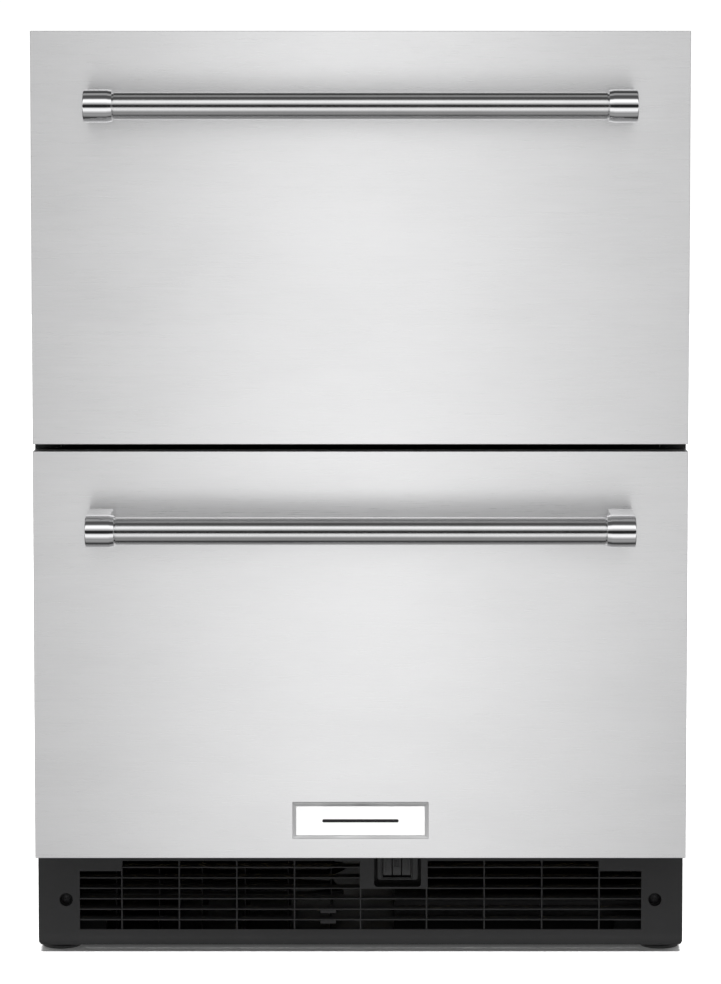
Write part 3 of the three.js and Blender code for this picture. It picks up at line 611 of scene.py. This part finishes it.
def knurled_bar(which):
    """The bar between the brackets: a fine diamond knurl, with a plain neck at each end."""
    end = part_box(f"{which}_handle_bar")[1].x
    y_axis, z_axis, radius = bar_axis(which)
    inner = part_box(f"{which}_handle_bracket_right")[0].x
    neck, ease = 1.0 * MM, 0.4 * MM
    pitch, height = KNURL["pitch"], KNURL["height"]
    around = 2 * round(math.pi * radius / pitch)
    reach = inner - neck - ease
    along = round(2 * reach / pitch)
    plain = [(-end, radius - neck), (-inner + neck, radius - neck)]
    stations = plain + [(-reach + 2 * reach * i / along, radius) for i in range(along + 1)]
    stations += [(-x, r) for x, r in plain[::-1]]
    rings = []
    for i, (x, size) in enumerate(stations):
        dip = height if size == radius else 0
        ring = []
        for j in range(around):
            a = 2 * math.pi * j / around
            r = size - dip * ((i + j) % 2)
            ring.append((x, r * math.cos(a), r * math.sin(a)))
        rings.append(ring)
    bm = bmesh.new()
    loft(bm, rings)
    nodes = [f"{which}_handle_bar"]
    build(f"{which}_knurled_bar", bm, BAR_STEEL, f"{which}_drawer", nodes, sharp=40,
          at=(0, y_axis, z_axis))


def handle_bracket(which, side):
    """A cast bracket: a square stem from the door, a round nose, and a chamfered ring towards the bar."""
    node = f"{which}_handle_bracket_{side}"
    low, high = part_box(node)
    y_axis, z_axis, _ = bar_axis(which)
    radius = (high.z - low.z) / 2
    stem = high.y - y_axis
    way = SIDES[side]
    inner, outer = sorted((abs(low.x), abs(high.x)))
    corner = math.atan2(radius, stem)
    quarter = math.pi / 2
    back_steps, nose_steps = 8, 48
    turns = (quarter, corner, -corner, -quarter)
    back = [a + (b - a) * i / back_steps for a, b in zip(turns, turns[1:]) for i in range(back_steps)]
    back.append(-quarter)
    nose = [-quarter - math.pi * i / nose_steps for i in range(1, nose_steps)]
    nothing = 1e-6

    def outline(x, inset, square):
        """The bracket's section at x: round all over, or square towards the door."""
        r = radius - inset
        points = [(r * math.cos(a), r * math.sin(a)) for a in nose]
        for a in back:
            size = r
            if square:
                size = min(stem / max(math.cos(a), nothing), r / max(abs(math.sin(a)), nothing))
            points.append((size * math.cos(a), size * math.sin(a)))
        return [(way * x, y_axis + u, z_axis + v) for u, v in points]

    depth, fillet, soft = BRACKET["depth"], BRACKET["fillet"], BRACKET["soft"]
    stem_in = inner + BRACKET["stem"]
    stem_inset = depth * (1 - BRACKET["stem"] / BRACKET["chamfer"])
    rings = [
        outline(inner, depth + soft, False),
        outline(inner + soft, depth, False),
        outline(stem_in, stem_inset, False),
        outline(stem_in, stem_inset, True),
        outline(inner + BRACKET["chamfer"], 0, True),
    ]
    for along, inset in arc(outer - fillet, -fillet, fillet, 90, 0, 5):
        rings.append(outline(along, -inset, True))
    bm = bmesh.new()
    loft(bm, rings if way > 0 else [ring[::-1] for ring in rings])
    bmesh.ops.remove_doubles(bm, verts=bm.verts, dist=TINY)
    bmesh.ops.dissolve_degenerate(bm, edges=bm.edges, dist=TINY)
    build(f"{which}_cast_bracket_{side}", bm, CHROME, f"{which}_drawer", [node],
          bevel=soft, sharp=24)


# ---------------------------------------------------------------- badge
def badge():
    """A bevelled metal rim around a white plate, with a plain inlaid bar in place of any name."""
    low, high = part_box("badge_plate")
    middle_x, half_x = (low.x + high.x) / 2, (high.x - low.x) / 2
    middle_z, half_z = (low.z + high.z) / 2, (high.z - low.z) / 2
    front, back = low.y, high.y
    rim = 3.6 * MM  # from the plate's edge to the white face
    sunk = 0.7 * MM  # how far the rim goes down behind the face

    def ring(inset, y):
        corner = max(0.8 * MM - inset / 4, 0.2 * MM)
        flat = centred(middle_x, middle_z, half_x - inset, half_z - inset, corner, 4)
        return [(x, y, z) for x, z in flat]

    slope = back - 0.7 * (back - front)
    steps = [(0, back), (0, back - 0.3 * MM), (0.5 * MM, slope), (2.6 * MM, front), (3.3 * MM, front)]
    steps += [(rim, front + 0.35 * MM), (rim, front + sunk)]
    bm = bmesh.new()
    loft(bm, [ring(inset, y) for inset, y in steps])
    build("badge_rim", bm, BADGE_METAL, "lower_drawer", ["badge_plate"], sharp=20)
    steps = [(rim, front + sunk), (rim + 0.02 * MM, front + 0.3 * MM), (rim + 0.3 * MM, front + 0.15 * MM)]
    bm = bmesh.new()
    loft(bm, [ring(inset, y) for inset, y in steps])
    build("badge_face", bm, BADGE_ENAMEL, "lower_drawer", sharp=50)
    bar_x, bar_z = half_x * 0.56, 1.5 * MM
    flat = centred(middle_x, middle_z, bar_x, bar_z, bar_z * 0.98)
    bm = bmesh.new()
    loft(bm, [[(x, y, z) for x, z in flat] for y in (front + 0.3 * MM, front + 0.08 * MM)])
    build("badge_inlay", bm, BADGE_INK, "lower_drawer", bevel=0.05 * MM)


# ---------------------------------------------------------------- toe grille
# The lattice of the toe grille: its upright bars, its slats, where it opens, and its wells for the screws.
BARS = sorted({way * x * MM for way in SIDES.values() for x in (0, 62, 116.2, 170.3, 224.2)})
GRILLE = {
    "slats": [(34.1 + 9.98 * i) * MM for i in range(6)],
    "slat": 1.5 * MM,
    "low": 24.9 * MM,
    "high": 90.2 * MM,
    "short_high": 80.4 * MM,
    "half": 263.7 * MM,
    "wall": 2.5 * MM,
    "corner": 5 * MM,
    "top_corner": 2 * MM,
    "roll": (5 * MM, 13 * MM),
    "well": 6.2 * MM,
    "boss": 8.4 * MM,
    "hole": 2.6 * MM,
    "lap": 1 * MM,
}
# The plate around the switches, its pocket, and the tabs of a clip, as x and z ranges.
PLATE = {"x": (-0.7 * MM, 63.1 * MM), "z": 63.6 * MM}
POCKET = (12.8 * MM, 56.7 * MM, 65.4 * MM, 101 * MM)
TAB = {"x": (-37.7 * MM, -23.1 * MM), "drop": 4.2 * MM, "set_back": 3 * MM}


def grille_side(low, high, inset):
    """The grille from the side: flat above, its lower edge rolled back."""
    roll_y, roll_z = GRILLE["roll"]
    steps = 10
    roll = []
    for i in range(steps + 1):
        a = math.pi / 2 * i / steps
        y = low.y + roll_y - (roll_y - inset) * math.cos(a)
        roll.append((y, low.z + roll_z - (roll_z - inset) * math.sin(a)))
    end = high.y + (CUT if inset else 0)
    return [(end, high.z - inset), (low.y + inset, high.z - inset), *roll, (end, low.z + inset)]


def grille_frame():
    """The moulded frame of the toe grille, with the plate and pocket for the switches."""
    low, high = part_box("toe_grille")
    wall, lap = GRILLE["wall"], GRILLE["lap"]
    cut_y = (low.y - wall, high.y + wall)
    face = rounded_rectangle(low.x, high.x, low.z, high.z, GRILLE["corner"], top=GRILLE["top_corner"])
    cavity = helper(prism, grille_side(low, high, wall), "x", low.x + wall, high.x - wall)
    half, inner = GRILLE["half"], BARS[-1]
    shoulder = GRILLE["short_high"]
    opening = [(half, GRILLE["low"]), (half, shoulder), (inner, shoulder), (inner, GRILLE["high"])]
    opening += [(-x, z) for x, z in opening[::-1]]
    plate = rounded_rectangle(*PLATE["x"], PLATE["z"], high.z - wall / 2, 0.3 * MM, 2)
    steps = [
        ("INTERSECT", helper(prism, face, "y", *cut_y)),
        ("DIFFERENCE", cavity),
        ("DIFFERENCE", helper(prism, opening, "y", *cut_y)),
        ("UNION", helper(prism, plate, "y", low.y, high.y - lap)),
        ("DIFFERENCE", helper(prism, rounded_rectangle(*POCKET, 3 * MM), "y", *cut_y)),
    ]
    for side in SIDES:
        rods = (
            ("UNION", GRILLE["boss"], lap, 14 * MM),
            ("DIFFERENCE", GRILLE["well"], -CUT, 10 * MM),
            ("DIFFERENCE", GRILLE["hole"], 5 * MM, 20 * MM),
        )
        for operation, radius, start, end in rods:
            rod = helper(turned, [(radius, start), (radius, end)], screw_place(side), "y")
            steps.append((operation, rod))
    body = helper(prism, grille_side(low, high, 0), "x", low.x, high.x)
    build("grille_frame", carve(body, steps), BLACK_PLASTIC, "cabinet", ["toe_grille"],
          bevel=0.45 * MM)


def screw_place(side):
    """Where a grille screw's axis meets the grille's face."""
    low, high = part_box(f"grille_screw_{side}")
    return ((low.x + high.x) / 2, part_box("toe_grille")[0].y, (low.z + high.z) / 2)


def grille_lattice():
    """The slats with their rounded noses, the upright bars and two clip tabs."""
    low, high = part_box("toe_grille")
    thick, lap = GRILLE["slat"], GRILLE["lap"]
    tail = thick * 0.4  # half the thickness at the back
    back = high.y - lap
    plate_left, plate_right = PLATE["x"]
    bm = bmesh.new()
    for z in GRILLE["slats"]:
        nose = arc(low.y + thick / 2, z, thick / 2, 270, 90, 8)
        side = [*nose, (back, z + tail), (back, z - tail)]
        half = (GRILLE["half"] if z < GRILLE["short_high"] else BARS[-1]) + lap
        if z < PLATE["z"]:
            prism(bm, side, "x", -half, half)
        else:
            prism(bm, side, "x", -half, plate_left + lap / 2)
            prism(bm, side, "x", plate_right - lap / 2, half)
    for x in BARS:
        behind_plate = plate_left - thick < x < plate_right
        top = PLATE["z"] if behind_plate else GRILLE["high"]
        nose = arc(x, low.y + thick * 0.9, thick / 2, 180, 360, 8)
        outline = [*nose, (x + tail, back), (x - tail, back)]
        prism(bm, outline, "z", GRILLE["low"] - lap, top + lap / 2)
    for z in GRILLE["slats"][:2]:
        tab = rounded_rectangle(*TAB["x"], z - TAB["drop"], z, 0.6 * MM, 3)
        prism(bm, tab, "y", low.y + TAB["set_back"], back - lap)
    build("grille_lattice", bm, BLACK_PLASTIC, "cabinet")


def grille_screw(side):
    """A cross-head screw down in its well."""
    x, y, z = screw_place(side)
    head = [(0.4, 7), (2.2, 7.15), (3.9, 7.7), (4.9, 8.7), (5, 9.6), (2, 9.7), (2, 24)]
    profile = [(radius * MM, along * MM) for radius, along in head]
    body = helper(turned, profile, (x, y, z), "y", 32)
    arm, half_arm = 2.6 * MM, 0.55 * MM
    arms = []
    for wide, tall in ((arm, half_arm), (half_arm, arm)):
        slot = centred(x, z, wide, tall, 0.2 * MM, 2)
        arms.append(("DIFFERENCE", helper(prism, slot, "y", y + 6 * MM, y + 8.6 * MM)))
    build(f"well_screw_{side}", carve(body, arms), SCREW_STEEL, "cabinet",
          [f"grille_screw_{side}"])


# ---------------------------------------------------------------- switches
# The switch housing, in metres: how far its frame reaches beyond the keys, the gaps beside, below and above
# them, the rim's width, height and depth, and where its clip plate lies behind its face.
BEZEL = {
    "left": 5.5 * MM,
    "right": 7 * MM,
    "z": (71.2 * MM, 99.3 * MM),
    "corner": 2.2 * MM,
    "gap": (0.5 * MM, 2.3 * MM, 1 * MM),
    "rim": (1.6 * MM, 0.9 * MM, 0.8 * MM),
    "clip": (12.5 * MM, 14.5 * MM),
    "through": 18 * MM,
}
# A push key, in metres: its crown, its finger groove, and the lens of the middle one.
KEY = {
    "crown": 0.9 * MM,
    "groove": 0.45 * MM,
    "groove_aside": 1.6 * MM,
    "groove_end": 3 * MM,
    "groove_deep": 0.35 * MM,
    "lens": (2.1 * MM, 2.7 * MM),
    "lens_up": 1.2 * MM,
    "lens_gap": 0.1 * MM,
    "lens_deep": 0.8 * MM,
}


def switch_bezel():
    """The switch housing: a rounded frame around the keys, on a clip plate behind the grille."""
    low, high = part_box("switch_housing")
    key_low, key_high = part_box("switch_key_left")[0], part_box("switch_key_right")[1]
    front = low.y
    beside, below, above = BEZEL["gap"]
    rim_x, rim_z, rim_deep = BEZEL["rim"]
    hole = (key_low.x - beside, key_high.x + beside, key_low.z - below, key_high.z + above)
    rim = (hole[0] - rim_x, hole[1] + rim_x, hole[2] - rim_z, hole[3] + rim_z)
    outer = (key_low.x - BEZEL["left"], key_high.x + BEZEL["right"], *BEZEL["z"])
    flange = rounded_rectangle(low.x, high.x, low.z, high.z, 1.5 * MM)
    clip = [front + depth for depth in BEZEL["clip"]]
    through = (front - CUT, front + BEZEL["through"])
    steps = [
        ("UNION", helper(prism, flange, "y", *clip)),
        ("DIFFERENCE", helper(prism, rounded_rectangle(*hole, 0.5 * MM), "y", *through)),
        ("DIFFERENCE", helper(prism, rounded_rectangle(*rim, 0.9 * MM), "y", front - CUT, front + rim_deep)),
    ]
    body = helper(prism, rounded_rectangle(*outer, BEZEL["corner"]), "y", front, high.y)
    build("switch_bezel", carve(body, steps), KEY_PLASTIC, "cabinet", ["switch_housing"],
          bevel=0.35 * MM)


def switch_cap(which):
    """A push key with a crowned face, and a finger groove or, on the middle one, a small square lens."""
    low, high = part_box(f"switch_key_{which}")
    steps = 10
    side = []
    for i in range(steps + 1):
        t = i / steps
        side.append((low.y + KEY["crown"] * (2 * t - 1) ** 4, low.z + (high.z - low.z) * t))
    side += [(high.y, high.z), (high.y, low.z)]
    middle_x = (low.x + high.x) / 2
    lens_z = (low.z + high.z) / 2 + KEY["lens_up"]
    if which == "middle":
        sunk = centred(middle_x, lens_z, *KEY["lens"], 0.3 * MM, 3)
        deep = KEY["lens_deep"]
    else:
        x = middle_x + SIDES[which] * KEY["groove_aside"]
        half, end = KEY["groove"], KEY["groove_end"]
        sunk = rounded_rectangle(x - half, x + half, low.z + end, high.z - end, 0.4 * MM, 4)
        deep = KEY["groove_deep"]
    cut = ("DIFFERENCE", helper(prism, sunk, "y", low.y - CUT, low.y + deep))
    body = helper(prism, side, "x", low.x, high.x)
    build(f"push_key_{which}", carve(body, [cut]), KEY_PLASTIC, f"key_{which}",
          [f"switch_key_{which}"], bevel=0.45 * MM)
    if which == "middle":
        key_lens(middle_x, lens_z, low.y)


def key_lens(x, z, face):
    """The small square lens in the middle key."""
    half_x, half_z = [half - KEY["lens_gap"] for half in KEY["lens"]]
    bm = bmesh.new()
    prism(bm, centred(x, z, half_x, half_z, 0.25 * MM, 3), "y", face + 0.35 * MM, face + 1 * MM)
    build("push_key_lens", bm, BADGE_INK, "key_middle", bevel=0.15 * MM)


# ---------------------------------------------------------------- levelling feet
# A levelling foot, in metres: its stem, its thread, and the hexagon that turns it.
FOOT = {
    "stem": 4 * MM,
    "stem_low": 5.6 * MM,
    "stem_high": 12.6 * MM,
    "thread_low": 13 * MM,
    "pitch": 1.25 * MM,
    "thread_deep": 0.55 * MM,
    "hexagon": 7.4 * MM,
    "hexagon_z": (6 * MM, 11.5 * MM),
}


def levelling_foot(node):
    """A threaded stem in a flat foot, with a hexagon to turn it by."""
    low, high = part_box(node)
    x, y = (low.x + high.x) / 2, (low.y + high.y) / 2
    radius = (high.x - low.x) / 2
    body = node.replace("levelling_leg", "leg")
    pad = [(radius - 1.6 * MM, 0), (radius - 0.5 * MM, 0.4 * MM), (radius, 1.4 * MM), (radius, 2.8 * MM)]
    pad += [(radius - 0.6 * MM, 3.6 * MM), (radius * 0.7, 4.6 * MM), (9 * MM, 5.4 * MM), (8 * MM, 6.4 * MM)]
    bm = bmesh.new()
    turned(bm, pad, (x, y, low.z), "z", 72)
    build(f"{node}_pad", bm, RUBBER, body, [node], sharp=50)
    stem, pitch = FOOT["stem"], FOOT["pitch"]
    tall = high.z - low.z
    profile = [(stem, FOOT["stem_low"]), (stem, FOOT["stem_high"])]
    z = FOOT["thread_low"]
    while z < tall - 1.5 * MM:
        profile += [(stem, z), (stem - FOOT["thread_deep"], z + pitch / 2)]
        z += pitch
    profile += [(stem - 1 * MM, tall)]
    bm = bmesh.new()
    turned(bm, profile, (x, y, low.z), "z", 32)
    corners = [math.radians(60 * i) for i in range(6)]
    hexagon = [(x + FOOT["hexagon"] * math.cos(a), y + FOOT["hexagon"] * math.sin(a)) for a in corners]
    prism(bm, hexagon, "z", *[low.z + up for up in FOOT["hexagon_z"]])
    build(f"{node}_stem", bm, SCREW_STEEL, body, bevel=0.2 * MM)


# ---------------------------------------------------------------- drawer insides
# A bin, in metres: its wall, half width, rim, corners, and the ledges that it rests on the slides with.
BIN = {
    "wall": 2.5 * MM,
    "half": 250 * MM,
    "rim": 4 * MM,
    "rim_depth": 3 * MM,
    "bead": 1.3 * MM,
    "corner": 26 * MM,
    "sill": 16 * MM,
    "ledge": 3.2 * MM,
    "ledge_gap": 0.3 * MM,
}
# The step in the lower bin's floor, over the compressor: where it is and how high it goes.
STEP = {"y": 67.5 * MM, "rise": 132.5 * MM}
RIB = {"count": 9, "pitch": 52 * MM, "half": 1.4 * MM, "tall": 1.1 * MM}


def bin_solid(which, inset):
    """The bin's outer shape, or its cavity where inset is the wall: rounded in plan and at the floor."""
    low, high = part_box(f"{which}_bin")
    half = BIN["half"] - inset
    front, back = low.y + BIN["rim_depth"] + inset, high.y - BIN["rim"] - inset
    floor = low.z + inset
    top = high.z + (CUT if inset else 0)
    sill = BIN["sill"] - inset
    deep_back = STEP["y"] - inset if which == "lower" else back
    side = [(back, top), (front, top), *arc(front + sill, floor + sill, sill, 180, 270, 6),
            *arc(deep_back - sill, floor + sill, sill, 270, 360, 6)]
    if which == "lower":
        shelf = low.z + STEP["rise"] + inset
        side += [(deep_back, shelf), (back, shelf)]
    plan = rounded_rectangle(-half, half, front, back, BIN["corner"] - inset)
    cross = rounded_rectangle(-half, half, floor, top, sill, top=0.5 * MM)
    return carve(helper(prism, side, "x", -half, half), [
        ("INTERSECT", helper(prism, plan, "z", floor - CUT, top + CUT)),
        ("INTERSECT", helper(prism, cross, "y", front - CUT, back + CUT)),
    ])


def bin_rim(bm, which):
    """A flat rim with a rolled outer edge, as a closed band around the mouth."""
    low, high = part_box(f"{which}_bin")
    wide = BIN["half"] + BIN["rim"]
    tall, bead = BIN["rim_depth"], BIN["bead"]
    band = BIN["rim"] + BIN["wall"] * 0.6
    section = [(band, high.z - tall), (bead, high.z - tall)]
    for i in range(7):
        a = math.radians(-72 + 24 * i)
        section.append((bead - bead * math.cos(a), high.z - tall / 2 + tall / 2 * math.sin(a)))
    section += [(bead, high.z), (band, high.z)]
    rings = []
    for inset, z in section:
        radius = BIN["corner"] + BIN["rim"] - inset
        flat = rounded_rectangle(-wide + inset, wide - inset, low.y + inset, high.y - inset, radius)
        rings.append([(x, y, z) for x, y in flat])
    loft(bm, [*rings, rings[0]], caps=False)
    bmesh.ops.remove_doubles(bm, verts=bm.verts, dist=TINY)


def floor_ribs(under, front, back):
    """Ribs on a bin's floor, whose underside is at the height given."""
    floor = under + BIN["wall"]
    ribs = []
    for i in range(RIB["count"]):
        x = (i - RIB["count"] // 2) * RIB["pitch"]
        rib = rounded_rectangle(x - RIB["half"], x + RIB["half"], front, back, 1.3 * MM, 4)
        ribs.append(("UNION", helper(prism, rib, "z", floor - BIN["wall"] / 2, floor + RIB["tall"])))
    return ribs


def drawer_bin(which):
    """A moulded tub with a rolled rim, ribs on its floor and ledges on the slides."""
    low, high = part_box(f"{which}_bin")
    front = low.y + BIN["rim_depth"]
    back = high.y - BIN["rim"]
    steps = [("DIFFERENCE", solid_helper(bin_solid(which, BIN["wall"]))), ("UNION", helper(bin_rim, which))]
    ledge_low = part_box(f"{which}_drawer_frame")[1].z + BIN["ledge_gap"]
    for way in SIDES.values():
        near, far = sorted((way * (BIN["half"] - 1 * MM), way * high.x))
        flat = rounded_rectangle(near, far, front, back, 1.2 * MM, 3)
        steps.append(("UNION", helper(prism, flat, "z", ledge_low, ledge_low + BIN["ledge"])))
    deep_back = STEP["y"] if which == "lower" else back
    steps += floor_ribs(low.z, front + 30 * MM, deep_back - 30 * MM)
    if which == "lower":
        steps += floor_ribs(low.z + STEP["rise"], STEP["y"] + 14 * MM, high.y - 26 * MM)
    bm = carve(solid_helper(bin_solid(which, 0)), steps)
    build(f"{which}_moulded_bin", bm, BIN_PLASTIC, f"{which}_drawer", [f"{which}_bin"],
          bevel=0.6 * MM, segments=2)


# The raised frame on the back of each front: its half width, and the opening it fills with a gap all round.
MULLION = [corner.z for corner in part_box("mullion_bar")]
COLD_SPACE = (130 * MM, 826 * MM)
DYKE_GAP = 8 * MM
DYKE_HALF = 262 * MM
DYKE = {
    "upper": (MULLION[1] + DYKE_GAP, COLD_SPACE[1] - DYKE_GAP),
    "lower": (COLD_SPACE[0] + DYKE_GAP, MULLION[0] - DYKE_GAP),
}
# The raised frame's crest and the dish within it, as depth or height, inset and corner radius in millimetres.
CREST = [(2, 1.2, 16), (0.5, 1.8, 16), (0, 3.4, 16), (0, 14.6, 12), (0.5, 16, 12)]
DISH = [(0.6, 18, 12), (0, 20, 11), (0, 42, 10), (1.6, 45, 9), (1.6, 56, 8), (0, 59, 7)]


def ring(edge, y, inset, radius, steps=6):
    """The corners of a rounded ring at the depth y, drawn in from an edge given as x and z ranges."""
    x0, x1, z0, z1 = edge
    flat = rounded_rectangle(x0 + inset, x1 - inset, z0 + inset, z1 - inset, radius, steps)
    return [(x, y, z) for x, z in flat]


def formed_liner(which):
    """The back of a front: a vacuum formed sheet with a raised frame and a shallow panel in its dish."""
    low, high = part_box(f"{which}_front_liner")
    flange = (low.x, high.x, low.z, high.z)
    dyke = (-DYKE_HALF, DYKE_HALF, *DYKE[which])
    sheet = low.y + 3.2 * MM
    edge = 0.4 * MM
    dish = high.y - 3.5 * MM
    rings = [ring(flange, low.y, 0, 6 * MM), ring(flange, sheet - edge, 0, 6 * MM)]
    rings += [ring(flange, sheet, edge, 6 * MM), ring(dyke, sheet, 0, 16 * MM)]
    rings += [ring(dyke, high.y - deep * MM, inset * MM, radius * MM) for deep, inset, radius in CREST]
    rings += [ring(dyke, dish + up * MM, inset * MM, radius * MM) for up, inset, radius in DISH]
    bm = bmesh.new()
    loft(bm, rings)
    build(f"{which}_formed_liner", bm, WHITE_PLASTIC, f"{which}_drawer",
          [f"{which}_front_liner"], sharp=40)


def bellows_gasket(which):
    """A magnetic gasket: a base strip, a pleated neck and a soft sleeve around the magnet."""
    low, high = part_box(f"{which}_gasket")
    edge = (low.x, high.x, low.z, high.z)
    depth = (high.y - low.y) / MM
    section = [
        (2, 0), (10, 0), (10, 1.6), (7.6, 2.4), (9.2, 4.2), (7.8, 6), (11, 7), (11.6, 9.4),
        (10.6, depth), (1.4, depth), (0.4, 9.4), (1, 7), (4.2, 6), (2.8, 4.2), (4.4, 2.4), (2, 1.6),
    ]
    rings = [ring(edge, low.y + along * MM, inset * MM, (14 - inset) * MM, 5) for inset, along in section]
    bm = bmesh.new()
    loft(bm, [*rings, rings[0]], caps=False)
    bmesh.ops.remove_doubles(bm, verts=bm.verts, dist=TINY)
    build(f"{which}_bellows_gasket", bm, RUBBER, f"{which}_drawer", [f"{which}_gasket"],
          bevel=0.3 * MM, segments=2)


# ---------------------------------------------------------------- back of the cabinet
# The rear sheet, in metres: its pressed beads, and the screws around its edge with their seats.
REAR = {
    "bead_pitch": 105 * MM,
    "bead": (230 * MM, 7 * MM),
    "bead_deep": 0.7 * MM,
    "edge": 12 * MM,
    "column": 135 * MM,
    "row": 150 * MM,
    "seat": 4.6 * MM,
    "seat_deep": 0.9 * MM,
}
SCREW_HEAD = [(4.3, 0), (4.3, 0.35), (3.6, 0.75), (1.5, 0.8), (1.3, 0.3)]


def rear_screws():
    """Where the screws of the rear sheet go, as x and z."""
    low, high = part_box("rear_panel")
    middle_z = (low.z + high.z) / 2
    edge = REAR["edge"]
    spots = [(i * REAR["column"], z) for i in range(-2, 3) for z in (low.z + edge, high.z - edge)]
    for way in SIDES.values():
        spots += [(way * (high.x - edge), middle_z + i * REAR["row"]) for i in range(-1, 2)]
    return spots


def pressed_back():
    """The rear sheet with pressed stiffening beads and sunk screw seats."""
    low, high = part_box("rear_panel")
    middle_z = (low.z + high.z) / 2
    steps = []
    for i in range(-2, 3):
        bead = centred(0, middle_z + i * REAR["bead_pitch"], *REAR["bead"], 6.9 * MM, 8)
        cut = helper(prism, bead, "y", high.y - REAR["bead_deep"], high.y + CUT)
        steps.append(("DIFFERENCE", cut))
    bottom = high.y - REAR["seat_deep"]
    seat = [(REAR["seat"], -0.5 * MM), (REAR["seat"], REAR["seat_deep"])]
    for x, z in rear_screws():
        steps.append(("DIFFERENCE", helper(turned, seat, (x, bottom, z), "y", 24)))
    plate = rounded_rectangle(low.x, high.x, low.z, high.z, 2 * MM, 3)
    bm = carve(helper(prism, plate, "y", low.y, high.y), steps)
    build("pressed_back_sheet", bm, GALVANISED, "cabinet", ["rear_panel"], bevel=0.3 * MM)
    head = [(radius * MM, along * MM) for radius, along in SCREW_HEAD]
    bm = bmesh.new()
    for x, z in rear_screws():
        turned(bm, head, (x, bottom, z), "y", 24)
    build("back_screws", bm, ZINC, "cabinet", sharp=50)


# ---------------------------------------------------------------- finishes of the CAD nodes
FINISHES = {
    "stainless": (STEEL, 0.6 * MM, 4),
    "cabinet_paint": (BLACK_PAINT, 0.5 * MM, 2),
    "galvanised": (GALVANISED, 0.25 * MM, 2),
    "black_plastic": (BLACK_PLASTIC, 0.6 * MM, 3),
    "white_plastic": (WHITE_PLASTIC, 1.0 * MM, 3),
    "rubber": (RUBBER, 0.8 * MM, 3),
    "foam": (FOAM, 0, 0),
    "door_foam": (BLACK_PLASTIC, 0.8 * MM, 3),
    "zinc": (ZINC, 0.2 * MM, 2),
    "copper": (COPPER, 0, 0),
    "aluminium": (ALUMINIUM, 0.15 * MM, 2),
}


def dress_nodes():
    """Gives every CAD node that is kept its finish and soft edges."""
    for part in frame["record"]["subparts"]:
        if part["node"] not in REPLACED:
            dress(part["node"], *FINISHES[part["material_slot"]])


make_camera()
make_world()
make_floor()
front_glow()
for which in DRAWERS:
    knurled_bar(which)
    for side in SIDES:
        handle_bracket(which, side)
badge()
grille_frame()
grille_lattice()
for side in SIDES:
    grille_screw(side)
switch_bezel()
for which in ("left", "middle", "right"):
    switch_cap(which)
for end in ("front", "rear"):
    for side in SIDES:
        levelling_foot(f"levelling_leg_{end}_{side}")
for which in DRAWERS:
    drawer_bin(which)
    formed_liner(which)
    bellows_gasket(which)
pressed_back()
dress_nodes()

bpy.context.scene.view_settings.view_transform = "Standard"
